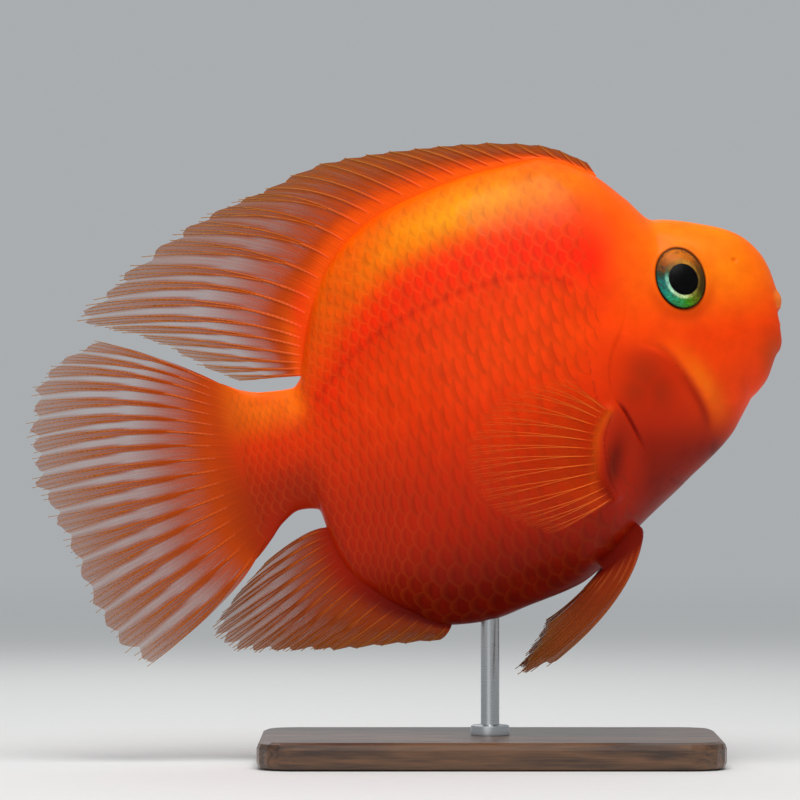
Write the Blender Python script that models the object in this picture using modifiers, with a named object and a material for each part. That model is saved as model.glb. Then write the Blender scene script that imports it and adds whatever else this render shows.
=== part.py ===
# Blood parrot cichlid, life size, held by a plain display stand.
# Metres, +Z up. The fish faces +X, nose up, and the origin is under the middle of the stand's base.
# The fish's own frame is in millimetres: forward, left and up from the middle of its body.

import math

import bmesh
import bpy
import numpy as np

MM = 0.001

# Pose
NOSE_UP = math.radians(12.0)
BODY_HEIGHT = 78.5

# Gaps and cuts. The head's cut runs aslant, so its gap along the body is a little wider
GAP = 0.3
PAIRED_GAP = 0.4
HEAD_GAP_ALONG = 0.345
SLIVER = 0.01
TAIL_CUT = -43.0
WELL_OUT = 80.0
WELL_UP = 62.0
WELL_ASIDE = 40.0
SHARP_ANGLE = math.radians(40.0)

# Side outline of the flesh, as forward and up
BACK_LINE = [
    (-55.1, 15.1), (-52.2, 13.4), (-48.0, 12.1), (-41.6, 11.6), (-39.4, 13.2), (-38.2, 16.6),
    (-36.7, 21.1), (-33.0, 29.1), (-26.3, 37.9), (-16.1, 44.1), (-4.4, 47.2), (8.1, 48.9),
    (20.0, 49.2), (31.4, 43.6), (37.7, 36.7), (42.4, 31.0), (44.2, 30.7), (52.4, 28.0),
    (59.4, 24.5), (63.8, 19.2), (65.2, 15.0), (65.7, 11.0),
]
BELLY_LINE = [
    (-55.1, -22.2), (-52.4, -19.8), (-49.2, -16.8), (-45.2, -14.9), (-41.2, -15.6), (-40.2, -21.5),
    (-38.4, -28.2), (-33.0, -35.5), (-26.5, -41.3), (-18.7, -46.0), (-9.9, -46.8), (-0.8, -45.4),
    (10.7, -43.2), (18.2, -39.3), (26.0, -33.6), (38.3, -25.9), (49.4, -18.5), (55.2, -12.0),
    (59.6, -8.3), (62.5, -3.8), (64.5, -0.9), (64.9, 4.4), (65.7, 6.0),
]

# Half of the body's thickness, and the height at which it is thickest
HALF_WIDTH = [
    (-55.1, 2.3), (-48.0, 3.8), (-41.0, 5.6), (-33.0, 9.0), (-25.0, 12.8), (-15.0, 16.8),
    (-5.0, 19.6), (6.0, 20.9), (16.0, 20.8), (25.0, 19.5), (32.0, 17.8), (40.0, 15.4),
    (46.0, 13.6), (52.0, 11.7), (58.0, 9.2), (62.0, 7.0), (64.5, 4.7), (65.7, 2.4),
]
THICKEST_AT = [(-55.1, -0.8), (-41.0, -2.0), (5.0, -5.0), (30.0, -2.0), (46.0, 2.0), (65.7, 7.0)]

# Lengthwise stations, closer where the outline turns fast, and points round each section
STATION_RUNS = [(-55.1, -41.6, 8), (-40.9, -36.4, 9), (-34.8, 22.0, 15), (25.0, 61.0, 15),
                (62.2, 64.5, 4), (64.9, 65.7, 3)]
RING_POINTS = 32

# Gill cover: its outline on the side of the head, its thickness, how far its rear edge stands out,
# the run over which it rises to that, and the sides between which it is cut from the body
GILL_OUTLINE = [
    (35.4, 5.4), (40.6, -1.6), (43.6, -8.4), (44.9, -14.0), (41.3, -19.2), (35.5, -22.4),
    (31.2, -20.8), (29.2, -15.1), (27.2, -8.7), (25.2, -3.6), (26.6, 3.4), (30.2, 9.0),
]
GILL_THICK = 1.4
GILL_STANDS_OUT = 0.6
GILL_PROUD = 0.02
GILL_RISE = (44.0, 27.0)
GILL_SIDES = (2.0, 34.0)

# The cut between head and trunk: over the nape, down the rear of the gill covers, to the throat
HEAD_CUT = [
    (38.5, 62.0), (35.2, 38.0), (32.2, 18.0), (30.2, 9.0), (26.6, 3.4), (25.2, -3.6),
    (27.2, -8.7), (29.2, -15.1), (31.2, -20.8), (33.4, -34.0), (36.0, -62.0),
]

# Eye: centre on the side of the head, half sizes, and how deep the centre sits
EYE_AT = (45.2, 17.15)
EYE_HALF = (6.5, 4.2, 8.4)
EYE_DEPTH = 2.3
EYE_YAW = math.radians(14.0)
EYE_SLOPE_STEP = 2.0

# Mouth and nostrils
UPPER_LIP = [(61.3, 5.5, 7.1), (63.5, 3.2, 8.1), (63.9, 0.0, 8.4)]
UPPER_LIP_RADIUS = 2.4
LOWER_LIP = [(61.0, 5.6, 3.4), (63.2, 3.2, 3.1), (63.5, 0.0, 3.1)]
LOWER_LIP_RADIUS = 1.5
MOUTH_SLIT = [(61.6, 5.2), (67.5, 5.0), (67.5, 6.1)]
MOUTH_ASIDE = 9.0
NOSTRIL_AT = (57.6, 18.6)
NOSTRIL_RADIUS = 0.75

# Fin rays: half width of a ridge in pitches at root and tip, the outer rays' half width, where a
# soft ray forks, how far its halves part, and how much rays differ in place and length
RAY_FOOT = (0.34, 0.24)
EDGE = 0.34
FORK_RUN = (0.35, 0.60)
FORK_PART = (0.25, 0.60)
RAY_SHIFT = 0.07
RAY_SHORTER = 0.03
THICK_AT = (0.0, 0.15, 0.8, 1.0)
NOTCH_SHARE = {"crest": 0.0, "edge": 0.5, "foot": 0.6, "fork": 0.5, "web": 1.0}
ROW_CROWDING = 0.9
STALK_ROW = -0.01

# How far the trailing fins lean to one side, from where, and over what length
SWAY = 2.6
SWAY_FROM = -30.0
SWAY_RUN = 60.0

# Stand
BASE_SIZE = (100.0, 60.0, 6.0)
BASE_EDGE = 1.5
BASE_CORNER = 8.0
BASE_EDGE_ANGLE = math.radians(50.0)
ROD_RADIUS = 2.0
ROD_TOP = BODY_HEIGHT - 40.0
ROD_SIDES = 24


# Scene and collections

for old in list(bpy.data.objects):
    bpy.data.objects.remove(old, do_unlink=True)

model = bpy.data.collections.new("blood_parrot_cichlid")
cutters = bpy.data.collections.new("cutters")
bpy.context.scene.collection.children.link(model)
bpy.context.scene.collection.children.link(cutters)

swim_pose = bpy.data.objects.new("swim_pose", None)
swim_pose.location = (0.0, 0.0, BODY_HEIGHT * MM)
swim_pose.rotation_euler = (0.0, -NOSE_UP, 0.0)
swim_pose.empty_display_size = 0.02
model.objects.link(swim_pose)


# Small tools

def material(name, color, roughness, metallic=0.0):
    made = bpy.data.materials.new(name)
    made.use_nodes = True
    shader = made.node_tree.nodes["Principled BSDF"]
    shader.inputs["Base Color"].default_value = (*color, 1.0)
    shader.inputs["Roughness"].default_value = roughness
    shader.inputs["Metallic"].default_value = metallic
    return made


def add_part(name, mesh, finish, on_fish=True):
    part = bpy.data.objects.new(name, mesh)
    part.data.materials.clear()
    part.data.materials.append(finish)
    part.parent = swim_pose if on_fish else None
    model.objects.link(part)
    return part


def add_cutter(name, mesh):
    cutter = bpy.data.objects.new(name, mesh)
    cutter.parent = swim_pose
    cutter.hide_render = True
    cutter.display_type = "WIRE"
    cutters.objects.link(cutter)
    return cutter


def mesh_from(name, build):
    bm = bmesh.new()
    build(bm)
    bm.normal_update()
    bmesh.ops.recalc_face_normals(bm, faces=bm.faces)
    mesh = bpy.data.meshes.new(name)
    bm.to_mesh(mesh)
    bm.free()
    return mesh


def boolean(part, operation, other):
    step = part.modifiers.new(operation.lower(), "BOOLEAN")
    step.operation = operation
    step.solver = "EXACT"
    if isinstance(other, bpy.types.Collection):
        step.operand_type = "COLLECTION"
        step.collection = other
    else:
        step.object = other


def largest_piece(mesh):
    # Keeps the largest closed surface, which drops any scrap that a cut leaves
    bm = bmesh.new()
    bm.from_mesh(mesh)
    waiting = set(bm.verts)
    groups = []
    while waiting:
        front = [waiting.pop()]
        group = set(front)
        while front:
            for edge in front.pop().link_edges:
                for vert in edge.verts:
                    if vert in waiting:
                        waiting.remove(vert)
                        group.add(vert)
                        front.append(vert)
        groups.append(group)
    groups.sort(key=len)
    scraps = [vert for group in groups[:-1] for vert in group]
    bmesh.ops.delete(bm, geom=scraps, context="VERTS")
    bmesh.ops.dissolve_degenerate(bm, edges=bm.edges, dist=SLIVER * MM)
    bmesh.ops.triangulate(bm, faces=bm.faces)
    bm.to_mesh(mesh)
    bm.free()


def apply_modifiers(part):
    bpy.context.view_layer.update()
    evaluated = part.evaluated_get(bpy.context.evaluated_depsgraph_get())
    mesh = bpy.data.meshes.new_from_object(evaluated)
    largest_piece(mesh)
    part.modifiers.clear()
    part.data = mesh


def smooth_line(points, at):
    # A monotone cubic through a few points, so that an outline never swings past them
    xs, ys = np.array(points, float).T
    step = np.diff(xs)
    slope = np.diff(ys) / step
    tangent = np.zeros(len(xs))
    tangent[0] = slope[0]
    tangent[-1] = slope[-1]
    for i in range(1, len(xs) - 1):
        if slope[i - 1] * slope[i] > 0:
            before = 2 * step[i] + step[i - 1]
            after = step[i] + 2 * step[i - 1]
            tangent[i] = (before + after) / (before / slope[i - 1] + after / slope[i])
    i = np.clip(np.searchsorted(xs, at) - 1, 0, len(xs) - 2)
    t = (at - xs[i]) / step[i]
    start = (2 * t**3 - 3 * t**2 + 1) * ys[i] + (t**3 - 2 * t**2 + t) * step[i] * tangent[i]
    end = (3 * t**2 - 2 * t**3) * ys[i + 1] + (t**3 - t**2) * step[i] * tangent[i + 1]
    return start + end


def rounded(points, closed, between=3):
    # A smooth path through the points, with a few more between each two
    points = np.array(points, float)
    count = len(points)
    path = []
    for i in range(count if closed else count - 1):
        if closed:
            a, b, c, d = (points[(i + k) % count] for k in (-1, 0, 1, 2))
        else:
            a, b, c, d = (points[min(max(i + k, 0), count - 1)] for k in (-1, 0, 1, 2))
        for t in np.arange(between) / between:
            path.append(0.5 * (2 * b + (c - a) * t + (2 * a - 5 * b + 4 * c - d) * t**2
                               + (3 * b - a - 3 * c + d) * t**3))
    if not closed:
        path.append(points[-1])
    return np.array(path)


def offset_outline(path, distance):
    # Moves a closed outline outward, whichever way round it runs
    ahead = np.roll(path, -1, axis=0) - np.roll(path, 1, axis=0)
    ahead /= np.linalg.norm(ahead, axis=1)[:, None]
    area = np.sum(path[:, 0] * np.roll(path[:, 1], -1) - np.roll(path[:, 0], -1) * path[:, 1])
    outward = np.c_[ahead[:, 1], -ahead[:, 0]] * math.copysign(1.0, area)
    return path + outward * distance


# Shape of the flesh

def section(s, grow=0.0):
    # Top, bottom, height of the thickest point and half thickness of the body at one station
    return (smooth_line(BACK_LINE, s) + grow, smooth_line(BELLY_LINE, s) - grow,
            smooth_line(THICKEST_AT, s), smooth_line(HALF_WIDTH, s) + grow)


def flank(s, n):
    # Half thickness of the body at a height
    top, bottom, thickest, half = section(s)
    reach = (top if n > thickest else bottom) - thickest
    return half * math.sqrt(max(0.0, 1.0 - ((n - thickest) / reach) ** 2))


def underside(s, y):
    # Height of the belly's surface at a distance from the middle
    top, bottom, thickest, half = section(s)
    return thickest + (bottom - thickest) * math.sqrt(max(0.0, 1.0 - (y / half) ** 2))


def skin_normal(s, n, side):
    # Square to the skin, pointing out, on one side of the body
    step = 0.2
    along = (flank(s + step, n) - flank(s - step, n)) / (2 * step)
    up = (flank(s, n + step) - flank(s, n - step)) / (2 * step)
    normal = np.array((-along, side, -up))
    return normal / np.linalg.norm(normal)


def flesh_mesh(name, grow):
    stations = np.concatenate([np.linspace(*run) for run in STATION_RUNS])
    angles = np.arange(RING_POINTS) * 2 * math.pi / RING_POINTS

    def build(bm):
        rings = []
        for s in stations:
            top, bottom, thickest, half = section(s, grow(s))
            ring = []
            for angle in angles:
                up = math.sin(angle)
                reach = top - thickest if up > 0 else thickest - bottom
                ring.append(bm.verts.new((s * MM, half * math.cos(angle) * MM,
                                          (thickest + reach * up) * MM)))
            rings.append(ring)
        for back, front in zip(rings, rings[1:]):
            for i in range(RING_POINTS):
                j = (i + 1) % RING_POINTS
                bm.faces.new((back[i], back[j], front[j], front[i]))
        bm.faces.new(rings[0])
        bm.faces.new(rings[-1])

    return mesh_from(name, build)


def prism(name, outline, side_from, side_to):
    # A flat outline in the fish's side view, run sideways
    def build(bm):
        near = [bm.verts.new((s * MM, side_from * MM, n * MM)) for s, n in outline]
        face = bm.faces.new(near)
        grown = bmesh.ops.extrude_face_region(bm, geom=[face])["geom"]
        moved = [item for item in grown if isinstance(item, bmesh.types.BMVert)]
        bmesh.ops.translate(bm, verts=moved, vec=(0.0, (side_to - side_from) * MM, 0.0))

    return add_cutter(name, mesh_from(name, build))


def ellipsoid(name, centre, half_sizes, tilt, yaw, segments, rings):
    # A sphere with its pole pointing sideways, so that its rings lie round the eye's axis.
    # Tilt leans the pole upward and yaw leans it forward
    def build(bm):
        bmesh.ops.create_uvsphere(bm, u_segments=segments, v_segments=rings, radius=1.0)
        for vert in bm.verts:
            x, y, z = vert.co
            along = half_sizes[0] * x
            aside = half_sizes[1] * z
            across = along * math.cos(yaw) + aside * math.sin(yaw)
            out = aside * math.cos(yaw) - along * math.sin(yaw)
            up = -half_sizes[2] * y
            vert.co = ((centre[0] + across) * MM,
                       (centre[1] + out * math.cos(tilt) - up * math.sin(tilt)) * MM,
                       (centre[2] + out * math.sin(tilt) + up * math.cos(tilt)) * MM)

    return mesh_from(name, build)


def tube(name, route, radius):
    # A round tube along a route of points, made a closed mesh
    curve = bpy.data.curves.new(name, "CURVE")
    curve.dimensions = "3D"
    curve.bevel_depth = radius * MM
    curve.bevel_resolution = 2
    curve.use_fill_caps = True
    line = curve.splines.new("POLY")
    line.points.add(len(route) - 1)
    for point, place in zip(line.points, route):
        point.co = (*(np.array(place) * MM), 1.0)
    shape = bpy.data.objects.new(name, curve)
    cutters.objects.link(shape)
    bpy.context.view_layer.update()
    mesh = bpy.data.meshes.new_from_object(shape.evaluated_get(bpy.context.evaluated_depsgraph_get()))
    bpy.data.objects.remove(shape)
    bpy.data.curves.remove(curve)

    def weld(bm):
        bm.from_mesh(mesh)
        bmesh.ops.remove_doubles(bm, verts=bm.verts, dist=SLIVER * MM)

    return mesh_from(name, weld)


# Finishes

skin_orange = material("skin_orange", (0.84, 0.13, 0.012), 0.42)
head_orange = material("head_orange", (0.91, 0.17, 0.010), 0.40)
gill_red = material("gill_red", (0.42, 0.035, 0.008), 0.42)
tail_orange = material("tail_orange", (0.86, 0.19, 0.012), 0.42)
eye_teal = material("eye_teal", (0.05, 0.17, 0.14), 0.08)
fin_amber = material("fin_amber", (0.50, 0.12, 0.03), 0.40)
pale_fin = material("pale_fin", (0.72, 0.11, 0.02), 0.40)
base_wood = material("base_wood", (0.10, 0.045, 0.020), 0.45)
rod_steel = material("rod_steel", (0.56, 0.57, 0.58), 0.30, 1.0)


# Head, trunk, tail stem and gill covers, cut from one body

def no_growth(s):
    return 0.0


def gill_outside(s):
    start, end = GILL_RISE
    t = min(max((start - s) / (start - end), 0.0), 1.0)
    return GILL_PROUD + GILL_STANDS_OUT * t * t * (3 - 2 * t)


def gill_inside(s):
    return -GILL_THICK


def gill_seat(s):
    return -GILL_THICK - GAP


def region(name, outline):
    return prism(name, outline, -WELL_ASIDE, WELL_ASIDE)


head_edge = rounded(HEAD_CUT, closed=False)
trunk_edge = head_edge - np.array([HEAD_GAP_ALONG, 0.0])
head_region = region("head_region", [(WELL_OUT, -WELL_UP), (WELL_OUT, WELL_UP), *head_edge])
trunk_region = region("trunk_region", [(TAIL_CUT, -WELL_UP), (TAIL_CUT, WELL_UP), *trunk_edge])
tail_region = region("tail_region", [(-WELL_OUT, -WELL_UP), (-WELL_OUT, WELL_UP),
                                     (TAIL_CUT - GAP, WELL_UP), (TAIL_CUT - GAP, -WELL_UP)])

head = add_part("head", flesh_mesh("head", no_growth), head_orange)
trunk = add_part("trunk", flesh_mesh("trunk", no_growth), skin_orange)
tail_stem = add_part("tail_stem", flesh_mesh("tail_stem", no_growth), tail_orange)

lips = bpy.data.collections.new("lips")
cutters.children.link(lips)
for lip_name, lip_half, lip_radius in (("upper_lip", UPPER_LIP, UPPER_LIP_RADIUS),
                                       ("lower_lip", LOWER_LIP, LOWER_LIP_RADIUS)):
    far_half = [(s, -y, n) for s, y, n in reversed(lip_half[:-1])]
    lip_route = rounded([*lip_half, *far_half], closed=False, between=2)
    lip = bpy.data.objects.new(lip_name, tube(lip_name, lip_route, lip_radius))
    lip.parent = swim_pose
    lips.objects.link(lip)

boolean(trunk, "INTERSECT", trunk_region)
boolean(tail_stem, "INTERSECT", tail_region)
boolean(head, "INTERSECT", head_region)
boolean(head, "UNION", lips)
boolean(head, "DIFFERENCE", prism("mouth_slit", MOUTH_SLIT, -MOUTH_ASIDE, MOUTH_ASIDE))

# The eye's middle lies straight in from the skin, along an axis that leans forward and up with it
eye_out = flank(*EYE_AT)
eye_rise = flank(EYE_AT[0], EYE_AT[1] - EYE_SLOPE_STEP) - flank(EYE_AT[0], EYE_AT[1] + EYE_SLOPE_STEP)
eye_tilt = math.atan(eye_rise / (2 * EYE_SLOPE_STEP))
eye_forward = EYE_DEPTH * math.sin(EYE_YAW)
eye_aside = EYE_DEPTH * math.cos(EYE_YAW) * math.cos(eye_tilt)
eye_up = EYE_DEPTH * math.cos(EYE_YAW) * math.sin(eye_tilt)
gill_core = add_cutter("gill_core", flesh_mesh("gill_core", gill_inside))
seat_core = add_cutter("seat_core", flesh_mesh("seat_core", gill_seat))
gill_path = rounded(GILL_OUTLINE, closed=True)
seat_path = offset_outline(gill_path, GAP)

for side_name, side in (("right", -1), ("left", 1)):
    eye_centre = (EYE_AT[0] - eye_forward, side * (eye_out - eye_aside), EYE_AT[1] - eye_up)
    eye_size = np.array((EYE_HALF[0], side * EYE_HALF[1], EYE_HALF[2]))
    socket_size = eye_size + np.array((GAP, side * GAP, GAP))
    tilt = side * eye_tilt
    yaw = side * EYE_YAW
    ball = ellipsoid("eye", eye_centre, eye_size, tilt, yaw, 16, 9)
    eye = add_part(f"eye_{side_name}", ball, eye_teal)
    eye.data.shade_smooth()
    socket = add_cutter(f"eye_socket_{side_name}",
                        ellipsoid("eye_socket", eye_centre, socket_size, tilt, yaw, 16, 9))
    boolean(head, "DIFFERENCE", socket)

    nostril_centre = (NOSTRIL_AT[0], side * flank(*NOSTRIL_AT), NOSTRIL_AT[1])
    nostril = add_cutter(f"nostril_{side_name}",
                         ellipsoid("nostril", nostril_centre, [NOSTRIL_RADIUS] * 3, 0.0, 0.0, 10, 6))
    boolean(head, "DIFFERENCE", nostril)

    gill_sides = [side * reach for reach in GILL_SIDES]
    seat = prism(f"gill_seat_{side_name}", seat_path, *gill_sides)
    boolean(seat, "DIFFERENCE", seat_core)
    apply_modifiers(seat)
    boolean(head, "DIFFERENCE", seat)
    boolean(trunk, "DIFFERENCE", seat)

    cover = add_part(f"gill_cover_{side_name}", flesh_mesh("gill_cover", gill_outside), gill_red)
    boolean(cover, "INTERSECT", prism(f"gill_outline_{side_name}", gill_path, *gill_sides))
    boolean(cover, "DIFFERENCE", gill_core)
    apply_modifiers(cover)

for piece in (head, trunk, tail_stem):
    apply_modifiers(piece)
    piece.data.shade_smooth()
    piece.data.set_sharp_from_angle(angle=SHARP_ANGLE)
for lip in list(lips.objects):
    bpy.data.objects.remove(lip)
bpy.data.collections.remove(lips)


# Fins: a sheet from root to tips that follows a few guide rays, thickened to both sides

def back_root(s):
    # A point a gap off the back, square to its outline
    step = 0.05
    rise = (smooth_line(BACK_LINE, s + step) - smooth_line(BACK_LINE, s - step)) / (2 * step)
    length = math.hypot(rise, 1.0)
    out = np.array((-rise, 0.0, 1.0)) / length
    return np.array((s, 0.0, smooth_line(BACK_LINE, s))) + out * GAP, out


def belly_root(s):
    step = 0.05
    rise = (smooth_line(BELLY_LINE, s + step) - smooth_line(BELLY_LINE, s - step)) / (2 * step)
    length = math.hypot(rise, 1.0)
    out = np.array((rise, 0.0, -1.0)) / length
    return np.array((s, 0.0, smooth_line(BELLY_LINE, s))) + out * GAP, out


def stem_root(n):
    out = np.array((-1.0, 0.0, 0.0))
    return np.array((BACK_LINE[0][0], 0.0, n)) + out * GAP, out


def fin_mesh(name, root_at, guides, shape):
    # Each guide is where its ray starts, and the point half way along it and its tip.
    # A paired fin first stands off the skin on a short stalk, which is the row before the rays.
    rays = shape["rays"]
    draw = np.random.default_rng(shape["seed"])
    shift = draw.uniform(-RAY_SHIFT, RAY_SHIFT, rays)
    length = 1.0 - draw.uniform(0.0, RAY_SHORTER, rays)
    starts = [(i, guide[0]) for i, guide in enumerate(guides)]
    middles = np.array([guide[1] for guide in guides], float)
    tips = np.array([guide[2] for guide in guides], float)

    def across(values, at):
        return np.array([smooth_line(list(enumerate(values[:, k])), at) for k in range(3)])

    def place(u, v):
        at = (u + EDGE) / (rays - 1 + 2 * EDGE) * (len(guides) - 1)
        root, out = root_at(smooth_line(starts, at))
        if v < 0:
            return root
        root = root + out * shape.get("stalk", 0.0)
        middle = across(middles, at)
        tip = across(tips, at)
        bend = 2 * middle - (root + tip) / 2
        return (1 - v) ** 2 * root + 2 * v * (1 - v) * bend + v**2 * tip

    # Columns across the fin: a spine is foot, crest, foot, a soft ray has two crests that part
    columns = []
    for ray in range(rays):
        marks = ("foot", "crest", "foot")
        if ray >= shape["spines"]:
            marks = ("foot", "crest", "fork", "crest", "foot")
        columns += [(ray, mark, k - len(marks) // 2) for k, mark in enumerate(marks)]
        if ray < rays - 1:
            columns.append((ray, "web", 3))
    columns[0] = (0, "edge", -1)
    columns[-1] = (rays - 1, "edge", 1)

    def column_point(ray, mark, step, v):
        along = max(v, 0.0)
        half = RAY_FOOT[0] + (RAY_FOOT[1] - RAY_FOOT[0]) * along
        parted = half * (FORK_PART[0] + (FORK_PART[1] - FORK_PART[0]) * along)
        reach = {"foot": half, "edge": EDGE, "fork": 0.0, "web": 0.5,
                 "crest": 0.0 if step == 0 else parted}
        side = 1 if mark == "web" else np.sign(step)
        settled = 0.0 if mark == "edge" else shift[ray]
        short = NOTCH_SHARE[mark] * shape["notch"]
        if mark == "web":
            own_length = (length[ray] + length[ray + 1]) / 2
            settled = (shift[ray] + shift[ray + 1]) / 2
        else:
            own_length = length[ray]
        return place(ray + settled + side * reach[mark], v * own_length * (1 - short))

    def height(mark, v):
        along = max(v, 0.0)
        ridge = np.interp(along, THICK_AT, shape["ridge"])
        web = np.interp(along, THICK_AT, shape["web"])
        if mark == "fork":
            return ridge + (web - ridge) * np.interp(along, FORK_RUN, (0.0, 1.0))
        return ridge if mark == "crest" else web

    rows = np.linspace(0.0, 1.0, shape["rows"]) ** ROW_CROWDING
    if "stalk" in shape:
        rows = np.append(STALK_ROW, rows)
    bm = bmesh.new()
    grid = [[bm.verts.new(column_point(*column, v) * MM) for column in columns] for v in rows]
    for low, high in zip(grid, grid[1:]):
        for i in range(len(columns) - 1):
            bm.faces.new((low[i], low[i + 1], high[i + 1]))
            bm.faces.new((low[i], high[i + 1], high[i]))
    mesh = bpy.data.meshes.new(name)
    bm.to_mesh(mesh)
    bm.free()
    return mesh, [height(mark, v) for v in rows for ray, mark, step in columns]


def add_fin(name, root_at, guides, shape, finish):
    mesh, thickness = fin_mesh(name, root_at, guides, shape)
    fin = add_part(name, mesh, finish)
    group = fin.vertex_groups.new(name="thickness")
    most = float(max(thickness))
    for i, value in enumerate(thickness):
        group.add([i], float(value) / most, "REPLACE")
    solid = fin.modifiers.new("thickness", "SOLIDIFY")
    solid.thickness = most * MM
    solid.offset = 0.0
    solid.vertex_group = group.name
    fin.data.shade_smooth()
    return fin


def sway(s):
    # The trailing fins lean a little to one side
    return SWAY * max(0.0, (SWAY_FROM - s) / SWAY_RUN) ** 2


def upright(guides, lean):
    # Guides given in the side view, leaning sideways toward the rear
    return [(start, (mid[0], lean * sway(mid[0]), mid[1]), (tip[0], lean * sway(tip[0]), tip[1]))
            for start, mid, tip in guides]


SPINY_DORSAL = [
    (32.6, (31.8, 44.6), (31.1, 46.2)), (26.5, (24.6, 49.0), (22.6, 51.6)),
    (18.0, (14.2, 51.9), (10.2, 54.9)), (9.5, (3.9, 53.2), (-2.0, 56.5)),
    (1.0, (-6.0, 53.7), (-13.5, 57.5)), (-8.0, (-16.7, 53.3), (-25.5, 58.0)),
    (-17.0, (-27.6, 51.3), (-39.3, 54.6)),
]
SOFT_DORSAL = [
    (-17.5, (-28.0, 51.0), (-39.9, 54.3)), (-23.5, (-35.1, 48.2), (-51.7, 52.6)),
    (-28.9, (-41.6, 43.6), (-61.9, 49.4)), (-32.5, (-49.3, 39.4), (-72.1, 44.4)),
    (-34.9, (-54.4, 35.8), (-80.8, 39.5)), (-36.4, (-57.6, 31.3), (-86.3, 35.6)),
    (-37.3, (-54.3, 26.4), (-77.3, 31.9)), (-38.1, (-50.9, 21.2), (-68.5, 26.7)),
    (-38.6, (-48.0, 17.2), (-60.2, 20.0)), (-39.1, (-45.0, 14.4), (-53.0, 15.6)),
]
CAUDAL = [
    (14.8, (-68.0, 23.7), (-82.0, 30.7)), (11.6, (-72.8, 21.6), (-92.5, 27.2)),
    (8.2, (-75.9, 17.4), (-97.7, 21.2)), (4.6, (-77.1, 11.8), (-100.9, 13.5)),
    (0.9, (-78.5, 5.6), (-101.6, 6.1)), (-2.8, (-77.8, -1.6), (-100.3, -1.3)),
    (-6.9, (-77.4, -9.6), (-97.2, -11.4)), (-11.5, (-76.9, -17.6), (-95.3, -23.6)),
    (-16.4, (-74.0, -25.2), (-92.3, -33.5)), (-21.4, (-66.3, -31.2), (-86.4, -41.8)),
]
ANAL = [
    (-18.3, (-20.0, -47.9), (-21.9, -48.6)), (-23.6, (-27.8, -45.8), (-32.5, -47.4)),
    (-28.3, (-36.9, -43.8), (-43.6, -46.2)), (-33.0, (-43.0, -41.0), (-51.7, -44.8)),
    (-36.5, (-49.1, -38.3), (-59.7, -43.5)), (-38.5, (-51.7, -35.0), (-66.0, -41.8)),
    (-39.4, (-53.0, -30.8), (-70.5, -38.1)), (-40.1, (-51.8, -25.6), (-66.0, -32.6)),
    (-40.5, (-47.0, -20.6), (-56.0, -25.0)),
]

# Rays of each fin, how many of them are unforked spines, rows along a ray, how far the membrane's
# edge falls short of the ray tips, and thickness on the rays and on the membrane
SPINY_FIN = {"seed": 1, "rays": 13, "spines": 13, "rows": 5, "notch": 0.16,
             "ridge": (1.9, 1.4, 0.8, 0.35), "web": (1.4, 0.8, 0.5, 0.25)}
SOFT_FIN = {"seed": 2, "rays": 10, "spines": 0, "rows": 8, "notch": 0.14,
            "ridge": (1.9, 1.4, 0.8, 0.35), "web": (1.4, 0.8, 0.5, 0.25)}
TAIL_FIN = {"seed": 3, "rays": 14, "spines": 0, "rows": 7, "notch": 0.10,
            "ridge": (3.2, 1.8, 0.9, 0.35), "web": (2.6, 1.0, 0.5, 0.25)}
ANAL_FIN = {"seed": 4, "rays": 11, "spines": 4, "rows": 7, "notch": 0.12,
            "ridge": (1.9, 1.4, 0.8, 0.35), "web": (1.4, 0.8, 0.5, 0.25)}
PECTORAL_FIN = {"seed": 5, "rays": 9, "spines": 9, "rows": 7, "notch": 0.06, "stalk": 1.4,
                "ridge": (1.7, 1.2, 0.7, 0.3), "web": (1.5, 0.8, 0.5, 0.25)}
PELVIC_FIN = {"seed": 6, "rays": 6, "spines": 6, "rows": 7, "notch": 0.08, "stalk": 1.4,
              "ridge": (1.9, 1.4, 0.8, 0.3), "web": (1.6, 0.9, 0.5, 0.25)}

add_fin("dorsal_fin_spiny", back_root, upright(SPINY_DORSAL, 1), SPINY_FIN, fin_amber)
add_fin("dorsal_fin_soft", back_root, upright(SOFT_DORSAL, 1), SOFT_FIN, fin_amber)
add_fin("caudal_fin", stem_root, upright(CAUDAL, -1), TAIL_FIN, fin_amber)
add_fin("anal_fin", belly_root, upright(ANAL, 2), ANAL_FIN, fin_amber)

# Paired fins: guides as height of the root, then the middle and the tip as forward, out and up
PECTORAL_ROOT = [(-25.5, 21.6), (-20.0, 20.5), (-14.0, 20.9), (-7.6, 24.0)]
PECTORAL = [
    (-7.8, (20.0, 23.2, -2.6), (15.1, 25.0, 2.1)), (-9.8, (13.6, 25.2, -3.2), (3.5, 28.0, 1.0)),
    (-12.6, (7.6, 26.3, -7.4), (-5.3, 29.0, -4.2)), (-15.6, (5.6, 26.6, -12.4), (-9.4, 29.4, -10.8)),
    (-18.9, (5.6, 26.1, -19.0), (-8.4, 28.6, -18.6)), (-22.2, (9.8, 25.0, -25.0), (-2.1, 26.8, -25.7)),
    (-25.0, (13.9, 23.0, -28.6), (5.8, 24.5, -30.4)),
]
PELVIC_OUT = 5.5
PELVIC = [
    (25.4, (17.6, 9.0, -47.4), (-0.3, 11.5, -58.8)), (22.4, (12.4, 9.6, -48.6), (-8.2, 12.5, -59.3)),
    (19.0, (9.6, 9.4, -47.6), (-2.4, 12.0, -54.6)), (15.6, (8.6, 8.6, -46.4), (2.0, 10.4, -49.6)),
]

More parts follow.
